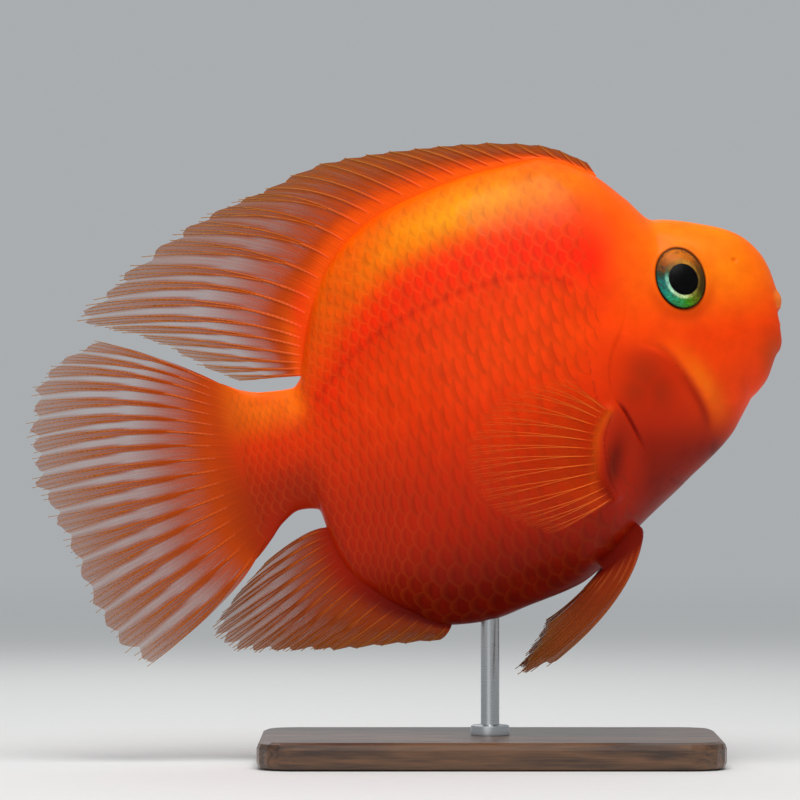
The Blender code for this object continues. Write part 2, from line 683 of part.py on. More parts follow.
for side_name, side in (("right", -1), ("left", 1)):

    def skin_root(s, n):
        out = skin_normal(s, n, side)
        return np.array((s, side * flank(s, n), n)) + out * PAIRED_GAP, out

    def pectoral_root(n):
        return skin_root(smooth_line(PECTORAL_ROOT, n), n)

    def pelvic_root(s):
        return skin_root(s, underside(s, PELVIC_OUT))

    def mirrored(guides):
        return [(start, (mid[0], side * mid[1], mid[2]), (tip[0], side * tip[1], tip[2]))
                for start, mid, tip in guides]

    add_fin(f"pectoral_fin_{side_name}", pectoral_root, mirrored(PECTORAL), PECTORAL_FIN, pale_fin)
    add_fin(f"pelvic_fin_{side_name}", pelvic_root, mirrored(PELVIC), PELVIC_FIN, pale_fin)


# Stand: a wooden base with rounded corners, and one steel rod up to the belly

def base_mesh():
    def build(bm):
        bmesh.ops.create_cube(bm, size=1.0)
        for vert in bm.verts:
            vert.co.x *= BASE_SIZE[0] * MM
            vert.co.y *= BASE_SIZE[1] * MM
            vert.co.z = (vert.co.z + 0.5) * BASE_SIZE[2] * MM
        uprights = [edge for edge in bm.edges if abs(edge.verts[0].co.z - edge.verts[1].co.z) > 0.001]
        bmesh.ops.bevel(bm, geom=uprights, offset=BASE_CORNER * MM, segments=4, profile=0.5,
                        affect="EDGES")

    return mesh_from("stand_base", build)


base = add_part("stand_base", base_mesh(), base_wood, on_fish=False)
edge = base.modifiers.new("soft_edge", "BEVEL")
edge.width = BASE_EDGE * MM
edge.segments = 2
edge.limit_method = "ANGLE"
edge.angle_limit = BASE_EDGE_ANGLE


def rod_mesh():
    # Its top lies inside the belly until the body's clearance is cut away
    bottom = BASE_SIZE[2] + GAP

    def build(bm):
        bmesh.ops.create_cone(bm, cap_ends=True, segments=ROD_SIDES, radius1=ROD_RADIUS * MM,
                              radius2=ROD_RADIUS * MM, depth=(ROD_TOP - bottom) * MM)
        bmesh.ops.translate(bm, verts=bm.verts, vec=(0.0, 0.0, (ROD_TOP + bottom) / 2 * MM))

    return mesh_from("stand_rod", build)


rod = add_part("stand_rod", rod_mesh(), rod_steel, on_fish=False)
boolean(rod, "DIFFERENCE", add_cutter("rod_clearance", flesh_mesh("rod_clearance", lambda s: GAP)))
apply_modifiers(rod)
rod.data.shade_smooth()
rod.data.set_sharp_from_angle(angle=SHARP_ANGLE)
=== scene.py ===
import math

import bpy
import numpy as np
from mathutils import Matrix


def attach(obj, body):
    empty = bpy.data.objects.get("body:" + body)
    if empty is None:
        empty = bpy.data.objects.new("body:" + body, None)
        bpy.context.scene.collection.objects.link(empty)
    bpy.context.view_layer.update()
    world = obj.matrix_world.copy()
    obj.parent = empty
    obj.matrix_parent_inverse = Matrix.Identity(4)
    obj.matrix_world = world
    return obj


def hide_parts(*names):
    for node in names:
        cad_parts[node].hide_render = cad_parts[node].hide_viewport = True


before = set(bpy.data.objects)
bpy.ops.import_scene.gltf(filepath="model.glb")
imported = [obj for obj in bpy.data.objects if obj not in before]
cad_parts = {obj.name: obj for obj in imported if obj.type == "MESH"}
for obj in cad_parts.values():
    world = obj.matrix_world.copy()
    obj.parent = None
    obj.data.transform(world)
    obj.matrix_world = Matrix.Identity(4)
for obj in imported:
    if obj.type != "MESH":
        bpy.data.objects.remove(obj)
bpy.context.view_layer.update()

# Blood parrot cichlid, life size, on a plain stand. The fish is worked out in millimetres in its own
# frame: s forward, y to its left, n up, from the middle of the body. place() then sets it nose up.

mm = 0.001

pose = {"noseUp": 12.0, "bodyHeight": 78.5}
fishPlace = (Matrix.Translation((0.0, 0.0, pose["bodyHeight"] * mm))
             @ Matrix.Rotation(-math.radians(pose["noseUp"]), 4, "Y"))


# Tools for materials

def linear(hexCode):
    # sRGB hex to the linear colour that a shader takes
    parts = [int(hexCode[i:i + 2], 16) / 255 for i in (1, 3, 5)]
    return tuple(c / 12.92 if c <= 0.04045 else ((c + 0.055) / 1.055) ** 2.4 for c in parts) + (1.0,)


def newMaterial(name, sockets=None):
    # sockets are the shader's settings that are the same all over the surface
    made = bpy.data.materials.new(name)
    made.use_nodes = True
    shader = made.node_tree.nodes["Principled BSDF"]
    for key, value in (sockets or {}).items():
        shader.inputs[key].default_value = value
    return made, made.node_tree, shader


def addNode(tree, kind, inputs=None, stops=None, **settings):
    # Adds a node with its settings, and each input as a value or as the socket that feeds it.
    # stops are the places and colours of a colour ramp
    node = tree.nodes.new(kind)
    for key, value in settings.items():
        setattr(node, key, value)
    for key, value in (inputs or {}).items():
        if isinstance(value, bpy.types.NodeSocket):
            tree.links.new(value, node.inputs[key])
        else:
            node.inputs[key].default_value = value
    if stops:
        marks = node.color_ramp.elements
        marks.remove(marks[-1])
        for i, (at, hexCode) in enumerate(stops):
            mark = marks[0] if i == 0 else marks.new(at)
            mark.position = at
            mark.color = linear(hexCode)
    return node


def feed(tree, node, sockets):
    # Links each socket into the node's input of that name
    for key, socket in sockets.items():
        tree.links.new(socket, node.inputs[key])


# Tools for meshes

def makeObject(name, points, faces, materials, faceSlots=None, values=None, place=fishPlace, sharp=None):
    # points in millimetres; values are numbers for each point that the material reads by name
    mesh = bpy.data.meshes.new(name)
    turned = np.asarray(points) * mm @ np.array(place)[:3, :3].T + np.array(place)[:3, 3]
    mesh.from_pydata(turned.tolist(), [], faces)
    for finish in materials:
        mesh.materials.append(finish)
    if faceSlots is not None:
        mesh.polygons.foreach_set("material_index", np.asarray(faceSlots, np.int32))
    for key, numbers in (values or {}).items():
        numbers = np.asarray(numbers, np.float32)
        kind = "FLOAT_VECTOR" if numbers.ndim == 2 else "FLOAT"
        layer = mesh.attributes.new(key, kind, "POINT")
        layer.data.foreach_set("vector" if numbers.ndim == 2 else "value", numbers.ravel())
    mesh.shade_smooth()
    if sharp is not None:
        mesh.set_sharp_from_angle(angle=math.radians(sharp))
    mesh.update()
    made = bpy.data.objects.new(name, mesh)
    bpy.context.scene.collection.objects.link(made)
    return made


def smoothLine(points, at):
    # A monotone cubic through a few points, so that an outline never swings past them
    xs, ys = np.array(points, float).T
    at = np.asarray(at, float)
    step = np.diff(xs)
    slope = np.diff(ys) / step
    tangent = np.zeros(len(xs))
    tangent[0] = slope[0]
    tangent[-1] = slope[-1]
    for i in range(1, len(xs) - 1):
        if slope[i - 1] * slope[i] > 0:
            before = 2 * step[i] + step[i - 1]
            after = step[i] + 2 * step[i - 1]
            tangent[i] = (before + after) / (before / slope[i - 1] + after / slope[i])
    i = np.clip(np.searchsorted(xs, at) - 1, 0, len(xs) - 2)
    t = np.clip((at - xs[i]) / step[i], 0.0, 1.0)
    start = (2 * t**3 - 3 * t**2 + 1) * ys[i] + (t**3 - 2 * t**2 + t) * step[i] * tangent[i]
    end = (3 * t**2 - 2 * t**3) * ys[i + 1] + (t**3 - t**2) * step[i] * tangent[i + 1]
    return start + end


def ease(low, high, at):
    # 0 below low, 1 above high, smooth between
    t = np.clip((at - low) / (high - low), 0.0, 1.0)
    return t * t * (3 - 2 * t)


def bell(at, width):
    # 1 in the middle, nearly 0 from twice the width on
    return np.exp(-(at / width) ** 2)


def unit(vectors):
    # The same directions, each of length 1
    return vectors / np.maximum(np.linalg.norm(vectors, axis=-1, keepdims=True), 1e-9)


def turns(count):
    # Equal steps once round, in radians
    return np.arange(count) * 2 * math.pi / count


def rounded(points, between=6):
    # A smooth path through all of the points
    points = np.array(points, float)
    path = []
    for i in range(len(points) - 1):
        a, b, c, d = points[np.clip((i - 1, i, i + 1, i + 2), 0, len(points) - 1)]
        for t in np.arange(between) / between:
            path.append(0.5 * (2 * b + (c - a) * t + (2 * a - 5 * b + 4 * c - d) * t**2
                               + (3 * b - a - 3 * c + d) * t**3))
    return np.array([*path, points[-1]])


def lathe(first, rings, last, turned=False):
    # A closed surface from a first point over equal rings of points to a last one. turned swaps
    # its inside and outside
    around = len(rings[0])
    k = np.arange(around)
    m = (k + 1) % around
    faces = np.stack((0 * k, 1 + k, 1 + m), axis=-1).tolist()
    end = 1 + (len(rings) - 1) * around
    for near in range(1, end, around):
        far = near + around
        faces += np.stack((near + k, far + k, far + m, near + m), axis=-1).tolist()
    faces += np.stack((end + k, 0 * k + end + around, end + m), axis=-1).tolist()
    return np.vstack((first, *rings, last)), [face[::-1] for face in faces] if turned else faces


def fromPath(points, path):
    # For each point: its distance from the path, how far along the nearest place is (0 to 1), and
    # on which side of the path it lies in the side view (+1 is right of the way the path runs)
    best = np.full(len(points), 1e9)
    along = np.zeros(len(points))
    side = np.zeros(len(points))
    lengths = np.linalg.norm(np.diff(path, axis=0), axis=1)
    reached = np.concatenate(([0.0], np.cumsum(lengths))) / lengths.sum()
    for i, (a, b) in enumerate(zip(path, path[1:])):
        run = b - a
        t = np.clip((points - a) @ run / (run @ run), 0.0, 1.0)
        off = points - a - t[:, None] * run
        distance = np.linalg.norm(off, axis=1)
        near = distance < best
        best = np.where(near, distance, best)
        along = np.where(near, reached[i] + t * (reached[i + 1] - reached[i]), along)
        if points.shape[1] == 2:
            side = np.where(near, np.sign(run[1] * off[:, 0] - run[0] * off[:, 1]), side)
    return best, along, side


# Shape of the body

body = {
    "back": [
        (-59.4, 17.4), (-55.1, 15.1), (-52.2, 13.4), (-48.0, 12.1), (-41.6, 11.6), (-39.4, 13.2),
        (-38.2, 16.6), (-36.7, 21.1), (-33.0, 29.1), (-26.3, 37.9), (-16.1, 44.1), (-4.4, 47.2),
        (8.1, 48.9), (20.0, 49.2), (31.4, 43.6), (37.7, 36.7), (42.4, 31.0), (44.2, 30.7), (52.4, 28.0),
        (59.4, 24.5), (63.8, 19.2), (65.2, 15.0), (65.7, 11.0),
    ],
    "belly": [
        (-59.4, -25.1), (-55.1, -22.2), (-52.4, -19.8), (-49.2, -16.8), (-45.2, -14.9), (-41.2, -15.6),
        (-40.2, -21.5), (-38.4, -28.2), (-33.0, -35.5), (-26.5, -41.3), (-18.7, -46.0), (-9.9, -46.8),
        (-0.8, -45.4), (10.7, -43.2), (18.2, -39.3), (26.0, -33.6), (38.3, -25.9), (49.4, -18.5),
        (55.2, -12.0), (59.6, -8.3), (62.5, -3.8), (64.5, -0.9), (64.9, 4.4), (65.7, 6.0),
    ],
    "halfWidth": [
        (-59.4, 0.14), (-57.5, 0.38), (-55.1, 0.95), (-52.0, 2.1), (-48.0, 3.6), (-41.0, 5.6),
        (-33.0, 9.0), (-25.0, 12.8), (-15.0, 16.8), (-5.0, 19.6), (6.0, 20.9), (16.0, 20.8),
        (25.0, 19.5), (32.0, 17.8), (40.0, 15.4), (46.0, 13.6), (52.0, 11.7), (58.0, 9.2), (62.0, 7.0),
        (64.5, 4.7), (65.7, 2.4),
    ],
    "thickestAt": [
        (-59.4, -1.5), (-55.1, -0.8), (-41.0, -2.0), (5.0, -5.0), (30.0, -2.0), (46.0, 2.0),
        (65.7, 7.0),
    ],
    "tailEnd": -59.4, "snoutEnd": 65.7,
    "footAt": -55.4, "footLean": 0.087,   # behind this the fleshy foot leans with the tail fin
    "inset": 0.16,        # the skin lies this far inside, and the scales come back out to it
    "ringPoints": 520,
    "fineStep": 0.30,     # spacing of stations on the head
    "bodyStep": 0.62,
    "pectoralRoot": [(21.6, -25.5), (20.5, -20.0), (20.9, -14.0), (24.0, -7.6)],
    "pectoralRidge": [(23.8, -7.7), (20.8, -10.9), (19.2, -14.8), (17.8, -20.0), (16.9, -25.3)],
    "moundFrom": 14.0,    # the mounds that carry the pectoral fins lie ahead of this
    "pelvicOut": 5.5,     # how far beside the middle the pelvic fins leave the belly
    "lateralLine": [(24.5, 18.6), (21.3, 21.0), (12.3, 24.4), (-0.6, 24.2), (-16.4, 20.7),
                    (-26.5, 15.8), (-32.5, 11.6), (-38.5, 5.6), (-43.0, 2.4), (-58.0, 0.6)],
}

head = {
    "reliefFrom": 22.0, "snoutFrom": 55.0,   # folds of the head, and the lips, lie ahead of these
    "cut": [(38.5, 60.0), (35.2, 38.0), (32.2, 18.0), (30.2, 9.0), (26.6, 3.4), (25.2, -3.6),
            (27.2, -8.7), (29.2, -15.1), (31.2, -20.8), (33.4, -34.0), (36.0, -60.0)],
    "gillEdge": [(33.0, 15.5), (30.2, 9.0), (26.6, 3.4), (25.2, -3.6), (27.2, -8.7), (29.2, -15.1),
                 (31.2, -20.8), (35.0, -25.4), (40.0, -27.0)],
    "gillLift": 0.5,
    "cheekFold": [(31.5, 7.6), (34.3, 5.4), (38.5, 2.4), (41.3, -2.2), (43.8, -8.2), (44.9, -13.3),
                  (44.4, -19.0)],
    "eyeAt": (45.2, 17.15), "eyeDepth": 2.3, "eyeYaw": 14.0,
    "eyeShows": (5.28, 6.64),   # half sizes of what shows of the eye
    "eyeScale": 5.7,            # millimetres to such a half size, for distances from the eye's edge
    "upperLip": [(59.4, 5.9, 6.5), (62.0, 3.9, 7.9), (63.35, 0.0, 8.5)], "upperLipRadius": 3.1,
    "lowerLip": [(59.8, 6.1, 3.8), (62.4, 4.2, 3.3), (63.5, 0.0, 3.1)], "lowerLipRadius": 1.6,
    "mouth": [(60.4, 6.6, 4.9), (63.2, 4.2, 5.3), (64.8, 1.8, 5.6), (65.4, 0.0, 5.7)],
    "nostrilAt": (57.6, 18.6),
    "throatAt": (50.0, 0.0, 6.0),   # a place inside the snout, behind both lips
}


def section(s):
    return (smoothLine(body["back"], s), smoothLine(body["belly"], s),
            smoothLine(body["thickestAt"], s), smoothLine(body["halfWidth"], s))


def bodyPoint(s, angle):
    # A place on the body's surface: angle 0 is its left flank, 90 degrees the back
    top, bottom, thickest, half = section(s)
    up = np.sin(angle)
    reach = np.where(up > 0, top - thickest, thickest - bottom)
    lean = body["footLean"] * np.minimum(s - body["footAt"], 0.0)
    return np.stack((s + 0 * angle, half * np.cos(angle) + lean, thickest + reach * up), axis=-1)


def bodyNormal(s, angle):
    alongS = bodyPoint(s + 0.1, angle) - bodyPoint(s - 0.1, angle)
    alongA = bodyPoint(s, angle + 0.004) - bodyPoint(s, angle - 0.004)
    return unit(np.cross(alongA, alongS))


def flank(s, n):
    top, bottom, thickest, half = section(s)
    reach = np.where(n > thickest, top, bottom) - thickest
    return half * np.sqrt(np.maximum(0.0, 1.0 - ((n - thickest) / reach) ** 2))


def acrossSnout(route, between=6):
    # A smooth path over the snout: the route is given from one side to the middle
    far = [(s, -y, n) for s, y, n in reversed(route[:-1])]
    return rounded([*route, *far], between)


def lipRise(points, normals, lip):
    # How far a lip's round roll stands beyond the body, measured square to it
    centres = acrossSnout(head[lip], 12)
    rise = np.full(len(points), -9.0)
    for i, centre in enumerate(centres):
        size = head[lip + "Radius"] * math.sin(math.pi * (i + 1.5) / (len(centres) + 2)) ** 0.8
        off = centre - points
        ahead = np.sum(off * normals, axis=1)
        beside = np.linalg.norm(off - ahead[:, None] * normals, axis=1)
        over = (ahead + np.sqrt(np.maximum(size**2 - beside**2, 0.0))
                - 1.6 * np.maximum(beside - size, 0.0))
        rise = np.maximum(rise, over)
    return rise


gillEdge = rounded(head["gillEdge"])
cheekFold = rounded(head["cheekFold"])
headCut = rounded(head["cut"])
mouthLine = acrossSnout(head["mouth"])
pectoralFoot = rounded(body["pectoralRoot"])
pectoralRidge = rounded(body["pectoralRidge"])
lateralLine = rounded(body["lateralLine"])


def eyeRing(flat):
    # Distance outside the edge of the eye, in millimetres, negative over the eye itself
    off = (flat - np.array(head["eyeAt"])) / np.array(head["eyeShows"])
    return (np.linalg.norm(off, axis=1) - 1.0) * head["eyeScale"]


def relief(points, normals):
    # Folds, lips, pits and edges of the head, as millimetres out from the smooth body
    flat = points[:, [0, 2]]
    height = np.zeros(len(points))
    front = points[:, 0] > head["reliefFrom"]
    near = flat[front]
    solid = points[front]
    rise = np.zeros(len(near))

    # Rear edge of the gill cover: it stands out, with the gill opening as a slit behind it
    away, along, side = fromPath(near, gillEdge)
    ahead = away * side
    ends = ease(0.0, 0.16, along) * ease(1.0, 0.80, along)
    opening = ease(0.44, 0.52, along) * ease(0.73, 0.60, along)
    lower = (0.35 + 0.65 * ease(0.15, 0.45, along)) * (0.45 + 0.55 * ease(0.80, 0.62, along))
    rise += (head["gillLift"] * ends * lower * ease(-0.25, 0.35, ahead)
             * np.exp(-np.maximum(ahead, 0) / 4.0))
    rise -= 0.55 * opening * bell(ahead + 0.30, 0.36)
    rise -= 0.12 * ends * ease(0.3, -0.3, ahead) * np.exp(np.minimum(ahead, 0) / 2.5)

    # Fold between the cheek and the gill cover
    away, along, side = fromPath(near, cheekFold)
    ahead = -away * side
    ends = ease(0.0, 0.25, along) * ease(1.0, 0.75, along)
    rise -= 0.34 * ends * bell(ahead, 0.8)
    rise += 0.26 * ends * ease(0.2, 1.4, -ahead) * np.exp(np.minimum(ahead, 0) / 4.0)

    # Round the eye: a low rim, then down beside the eyeball. Under it, a faint fold
    ring = eyeRing(near)
    low = ease(2.0, -4.0, near[:, 1] - head["eyeAt"][1])
    rise += 0.12 * bell(ring - 0.45, 0.5) * (ring > -1.5)
    rise -= 3.4 * ease(0.15, -1.7, ring)
    rise -= 0.07 * low * bell(ring - 2.2, 0.9)

    # Nostrils: one small pit on each side, with a low rim
    nostril = np.array([head["nostrilAt"][0], 0.0, head["nostrilAt"][1]])
    nostril[1] = flank(nostril[0], nostril[2])
    away = np.linalg.norm(np.abs(solid * (0, 1, 0)) + solid * (1, 0, 1) - nostril, axis=1)
    rise += 0.06 * bell(away - 0.9, 0.4) - 0.60 * bell(away, 0.5)

    # Fold under the chin
    rise -= 0.16 * bell(near[:, 0] - 55.4 + 0.12 * (near[:, 1] + 11), 0.7) * ease(-6.0, -10.0, near[:, 1])
    height[front] = rise

    # The soft mound that carries each pectoral fin
    root = points[:, 0] > body["moundFrom"]
    away = fromPath(flat[root], pectoralFoot)[0]
    height[root] += 0.9 * bell(away, 1.5) * (np.abs(points[root, 1]) > 3.0)

    # Lips: two soft rolls, with the line of the mouth cut between them
    snout = np.where(points[:, 0] > head["snoutFrom"])[0]
    if len(snout):
        at, out = points[snout], normals[snout]
        most = np.maximum(lipRise(at, out, "upperLip"), lipRise(at, out, "lowerLip"))
        most -= body["inset"] * 0.5
        soft = 0.18   # how gently the rolls grow out of the skin
        height[snout] += 0.5 * (most + np.sqrt(most**2 + soft**2))
        away, along = fromPath(at + out * height[snout][:, None], mouthLine)[:2]
        closed = ease(0.5, 0.30, np.abs(along - 0.5))
        height[snout] -= 1.4 * closed * bell(away, 0.38) + 0.30 * closed * bell(away, 0.9)
    return height


# Markings, as numbers from 0 to 1 that the materials of skin and scales both read

bands = {
    # Centre lines of the bands of colour, from the head to the tail
    "yellow": [(36.0, 35.0), (30.3, 40.5), (20.6, 42.0), (8.2, 42.0), (-5.3, 39.4), (-16.5, 35.3),
               (-25.2, 28.6), (-31.4, 20.8), (-34.9, 14.0)],
    "red": [(36.5, 16.0), (31.6, 22.8), (20.8, 27.6), (8.4, 30.2), (-7.8, 28.6), (-19.7, 23.6),
            (-28.2, 17.0), (-34.5, 9.0)],
    "dashes": 33,         # along the lateral line
    # Forward, up, half length and half height
    "gillSpots": [(33.2, -0.8, 3.8, 4.2), (30.4, -4.4, 2.8, 3.0), (35.8, -5.4, 2.6, 4.0)],
}


def markings(points):
    s, n = points[:, 0], points[:, 2]
    flat = points[:, [0, 2]]
    top = smoothLine(body["back"], np.clip(s, body["tailEnd"], body["snoutEnd"]))
    marks = {}

    away, side = fromPath(flat, headCut)[::2]
    isHead = ease(-6.5, 4.0, -away * side)
    away = fromPath(flat, rounded(bands["yellow"]))[0]
    marks["backYellow"] = bell(away, 5.4) * (0.16 + 0.84 * bell(s - 1.0, 21.0))
    marks["backTop"] = ease(9.0, 2.5, top - n) * ease(-38.0, -30.0, s)
    away, along = fromPath(flat, rounded(bands["red"]))[:2]
    marks["redBand"] = bell(away, 5.0) * (0.80 + 0.20 * bell(along - 0.15, 0.25))
    away, along = fromPath(flat, lateralLine)[:2]
    dashes = ease(-0.55, 0.25, np.sin(2 * math.pi * along * bands["dashes"]))
    marks["lateralLine"] = (bell(away, 0.72) * (0.40 + 0.60 * dashes)
                            * ease(0.0, 0.05, along) * ease(0.95, 0.60, along))
    marks["flankGlow"] = bell(np.hypot((s - 12.0) / 26.0, (n - 9.0) / 10.0), 1.0)
    # Darker toward the bottom: the lower flank and belly are partly the fish's own deeper red and partly
    # painted shade of light from above
    marks["lowFlankAndShade"] = ease(4.0, -26.0, n + 0.10 * s)
    marks["belly"] = ease(-20.0, -42.0, n - 0.05 * s) * ease(-50.0, -36.0, s)
    marks["tailTop"] = ease(-36.0, -42.0, s) * ease(0.0, 8.0, n) * ease(-62.0, -55.0, s)
    # The lower half of the tail's root darker: partly its own colour and partly painted shade of light from
    # above
    marks["tailLowAndShade"] = ease(-34.0, -44.0, s) * ease(0.0, -11.0, n)
    marks["finFoot"] = ease(-51.0, -60.0, s)

    marks["head"] = isHead
    marks["forehead"] = (isHead * ease(4.0, 20.0, n + 0.10 * (s - 45.0))
                         * (0.35 + 0.65 * ease(35.0, 46.0, s)) * (1 - 0.35 * ease(56.0, 64.0, s)))
    away, along, side = fromPath(flat, cheekFold)
    behind = away * side
    ends = ease(0.02, 0.35, along) * ease(1.0, 0.80, along)
    # A painted highlight along the raised cheek, just in front of its fold
    marks["cheekFoldHighlight"] = ends * bell(behind + 2.4, 2.5) * ease(1.2, -0.6, behind) * bell(n + 6.0, 9.0)
    reach = np.hypot((s - 34.5) / 13.0, (n + 5.5) / 14.5)
    marks["gill"] = bell(reach, 0.95) * ease(-1.4, 0.9, behind) * ease(8.0, 1.0, n + 0.3 * (s - 36.0))
    # Painted shade in the crease just behind the cheek fold
    marks["gillFoldShade"] = bell(behind - 0.6, 1.0) * ends * bell(n + 10.0, 9.0)
    # Dark tissue shows through the thin gill cover in a few uneven spots
    marks["gillPatch"] = np.max([bell(np.hypot((s - spotS) / wide, (n - spotN) / tall), 1.0)
                                 for spotS, spotN, wide, tall in bands["gillSpots"]], axis=0)
    # Throat: dark red that is partly its own and partly painted shade under the head
    marks["throat"] = ease(-8.0, -22.0, n + 0.35 * (s - 45.0)) * ease(22.0, 32.0, s) * ease(63.0, 50.0, s)
    # Painted shade in the hollow below the root of the pectoral fin
    marks["axilShade"] = bell(np.hypot((s - 22.9 - 0.38 * (n + 18.5)) / 2.6, (n + 18.5) / 7.5), 1.0)
    marks["pectoralRidge"] = bell(fromPath(flat, pectoralRidge)[0], 1.1)
    marks["chin"] = ease(57.0, 62.5, s) * ease(5.0, -5.0, n)
    # Dark red along the open part of the gill's rear edge: partly the red gills inside and partly painted
    # shade in the slit
    away, along, side = fromPath(flat, gillEdge)
    opened = ease(0.45, 0.52, along) * ease(0.72, 0.60, along)
    marks["gillSlitShade"] = opened * bell(away * side + 0.30, 0.42)
    ring = eyeRing(flat)
    marks["eyeEdge"] = bell(ring + 0.15, 0.34)
    # A painted shadow in a crescent under the eye
    marks["underEyeShadow"] = bell(ring - 1.4, 1.5) * ease(1.0, -5.0, n - head["eyeAt"][1])

    # The lips are looked for from inside the snout, because a point here may be on skin or scale
    snout = s > head["snoutFrom"]
    marks["lip"] = np.zeros(len(s))
    marks["mouth"] = np.zeros(len(s))
    if snout.any():
        at = points[snout]
        out = unit(at - head["throatAt"])
        upper, lower = [ease(0.25, 0.60, lipRise(at - 0.6 * out, out, lip))
                        for lip in ("upperLip", "lowerLip")]
        marks["lip"][snout] = np.maximum(upper * ease(63.9, 65.2, at[:, 0]), lower)
        # The line of the mouth is painted dark: painted shade in the groove between the lips
        away, along = fromPath(at, mouthLine)[:2]
        marks["mouth"][snout] = bell(away, 0.70) * ease(0.5, 0.30, np.abs(along - 0.5))
    return marks


skinLook = {
    # Pigment under a clear wet skin, from the flank outward, each laid over the last by its marking. Some
    # layers are painted shade or a painted highlight, as noted at each
    "flank": "#f83800",
    "layers": [
        # Lower flank and belly: deeper red that is partly pigment and partly painted shade from above
        ("lowFlankAndShade", "#c42200", 0.90), ("belly", "#6c0a00", 0.92), ("flankGlow", "#fc4400", 0.80),
        ("backTop", "#f45800", 0.80), ("backYellow", "#ff9400", 0.95), ("redBand", "#ff1e00", 0.88),
        # The low tail's dark red is partly painted shade from above
        ("tailTop", "#fb6a04", 0.90), ("tailLowAndShade", "#9c2202", 0.70), ("finFoot", "#a83c06", 0.75),
        # The throat's dark red is partly painted shade under the head
        ("head", "#fb4200", 1.0), ("forehead", "#fc7c00", 0.95), ("throat", "#640a00", 0.92),
        # Painted highlight in front of the cheek fold, painted shade in its crease
        ("cheekFoldHighlight", "#ff7206", 0.70), ("gill", "#c02200", 0.88), ("gillFoldShade", "#7c0e00", 0.55),
        # The dark at the pectoral fin's root is painted shade
        ("gillPatch", "#6a2c0c", 0.34), ("axilShade", "#5c0a00", 0.80), ("pectoralRidge", "#e86008", 0.60),
        # Under the eye: a painted shadow
        ("chin", "#b84404", 0.70), ("underEyeShadow", "#c83000", 0.45),
        # The mouth's dark line is painted shade in its groove
        ("eyeEdge", "#4a1005", 0.80), ("lip", "#ff8618", 0.70), ("mouth", "#5c0e04", 0.85),
        # The gill slit's dark red is partly the gills and partly painted shade
        ("lateralLine", "#c81000", 0.50), ("gillSlitShade", "#8c0e04", 0.85),
    ],
    "rimBack": "#ffb01c", "rimFlank": "#ff6c22",
    "scaleMiddle": "#efebe8", "scaleEdge": "#ffffff",   # what a scale's colour is multiplied by
}


def pigment(points):
    # The body's colour at these places, with its painted shade and highlight, for what grows out of it
    marks = markings(points)
    colour = np.tile(linear(skinLook["flank"])[:3], (len(points), 1))
    for key, hexCode, strength in skinLook["layers"]:
        share = np.clip(marks[key] * strength, 0.0, 1.0)[:, None]
        colour = colour * (1 - share) + np.array(linear(hexCode)[:3]) * share
    return colour


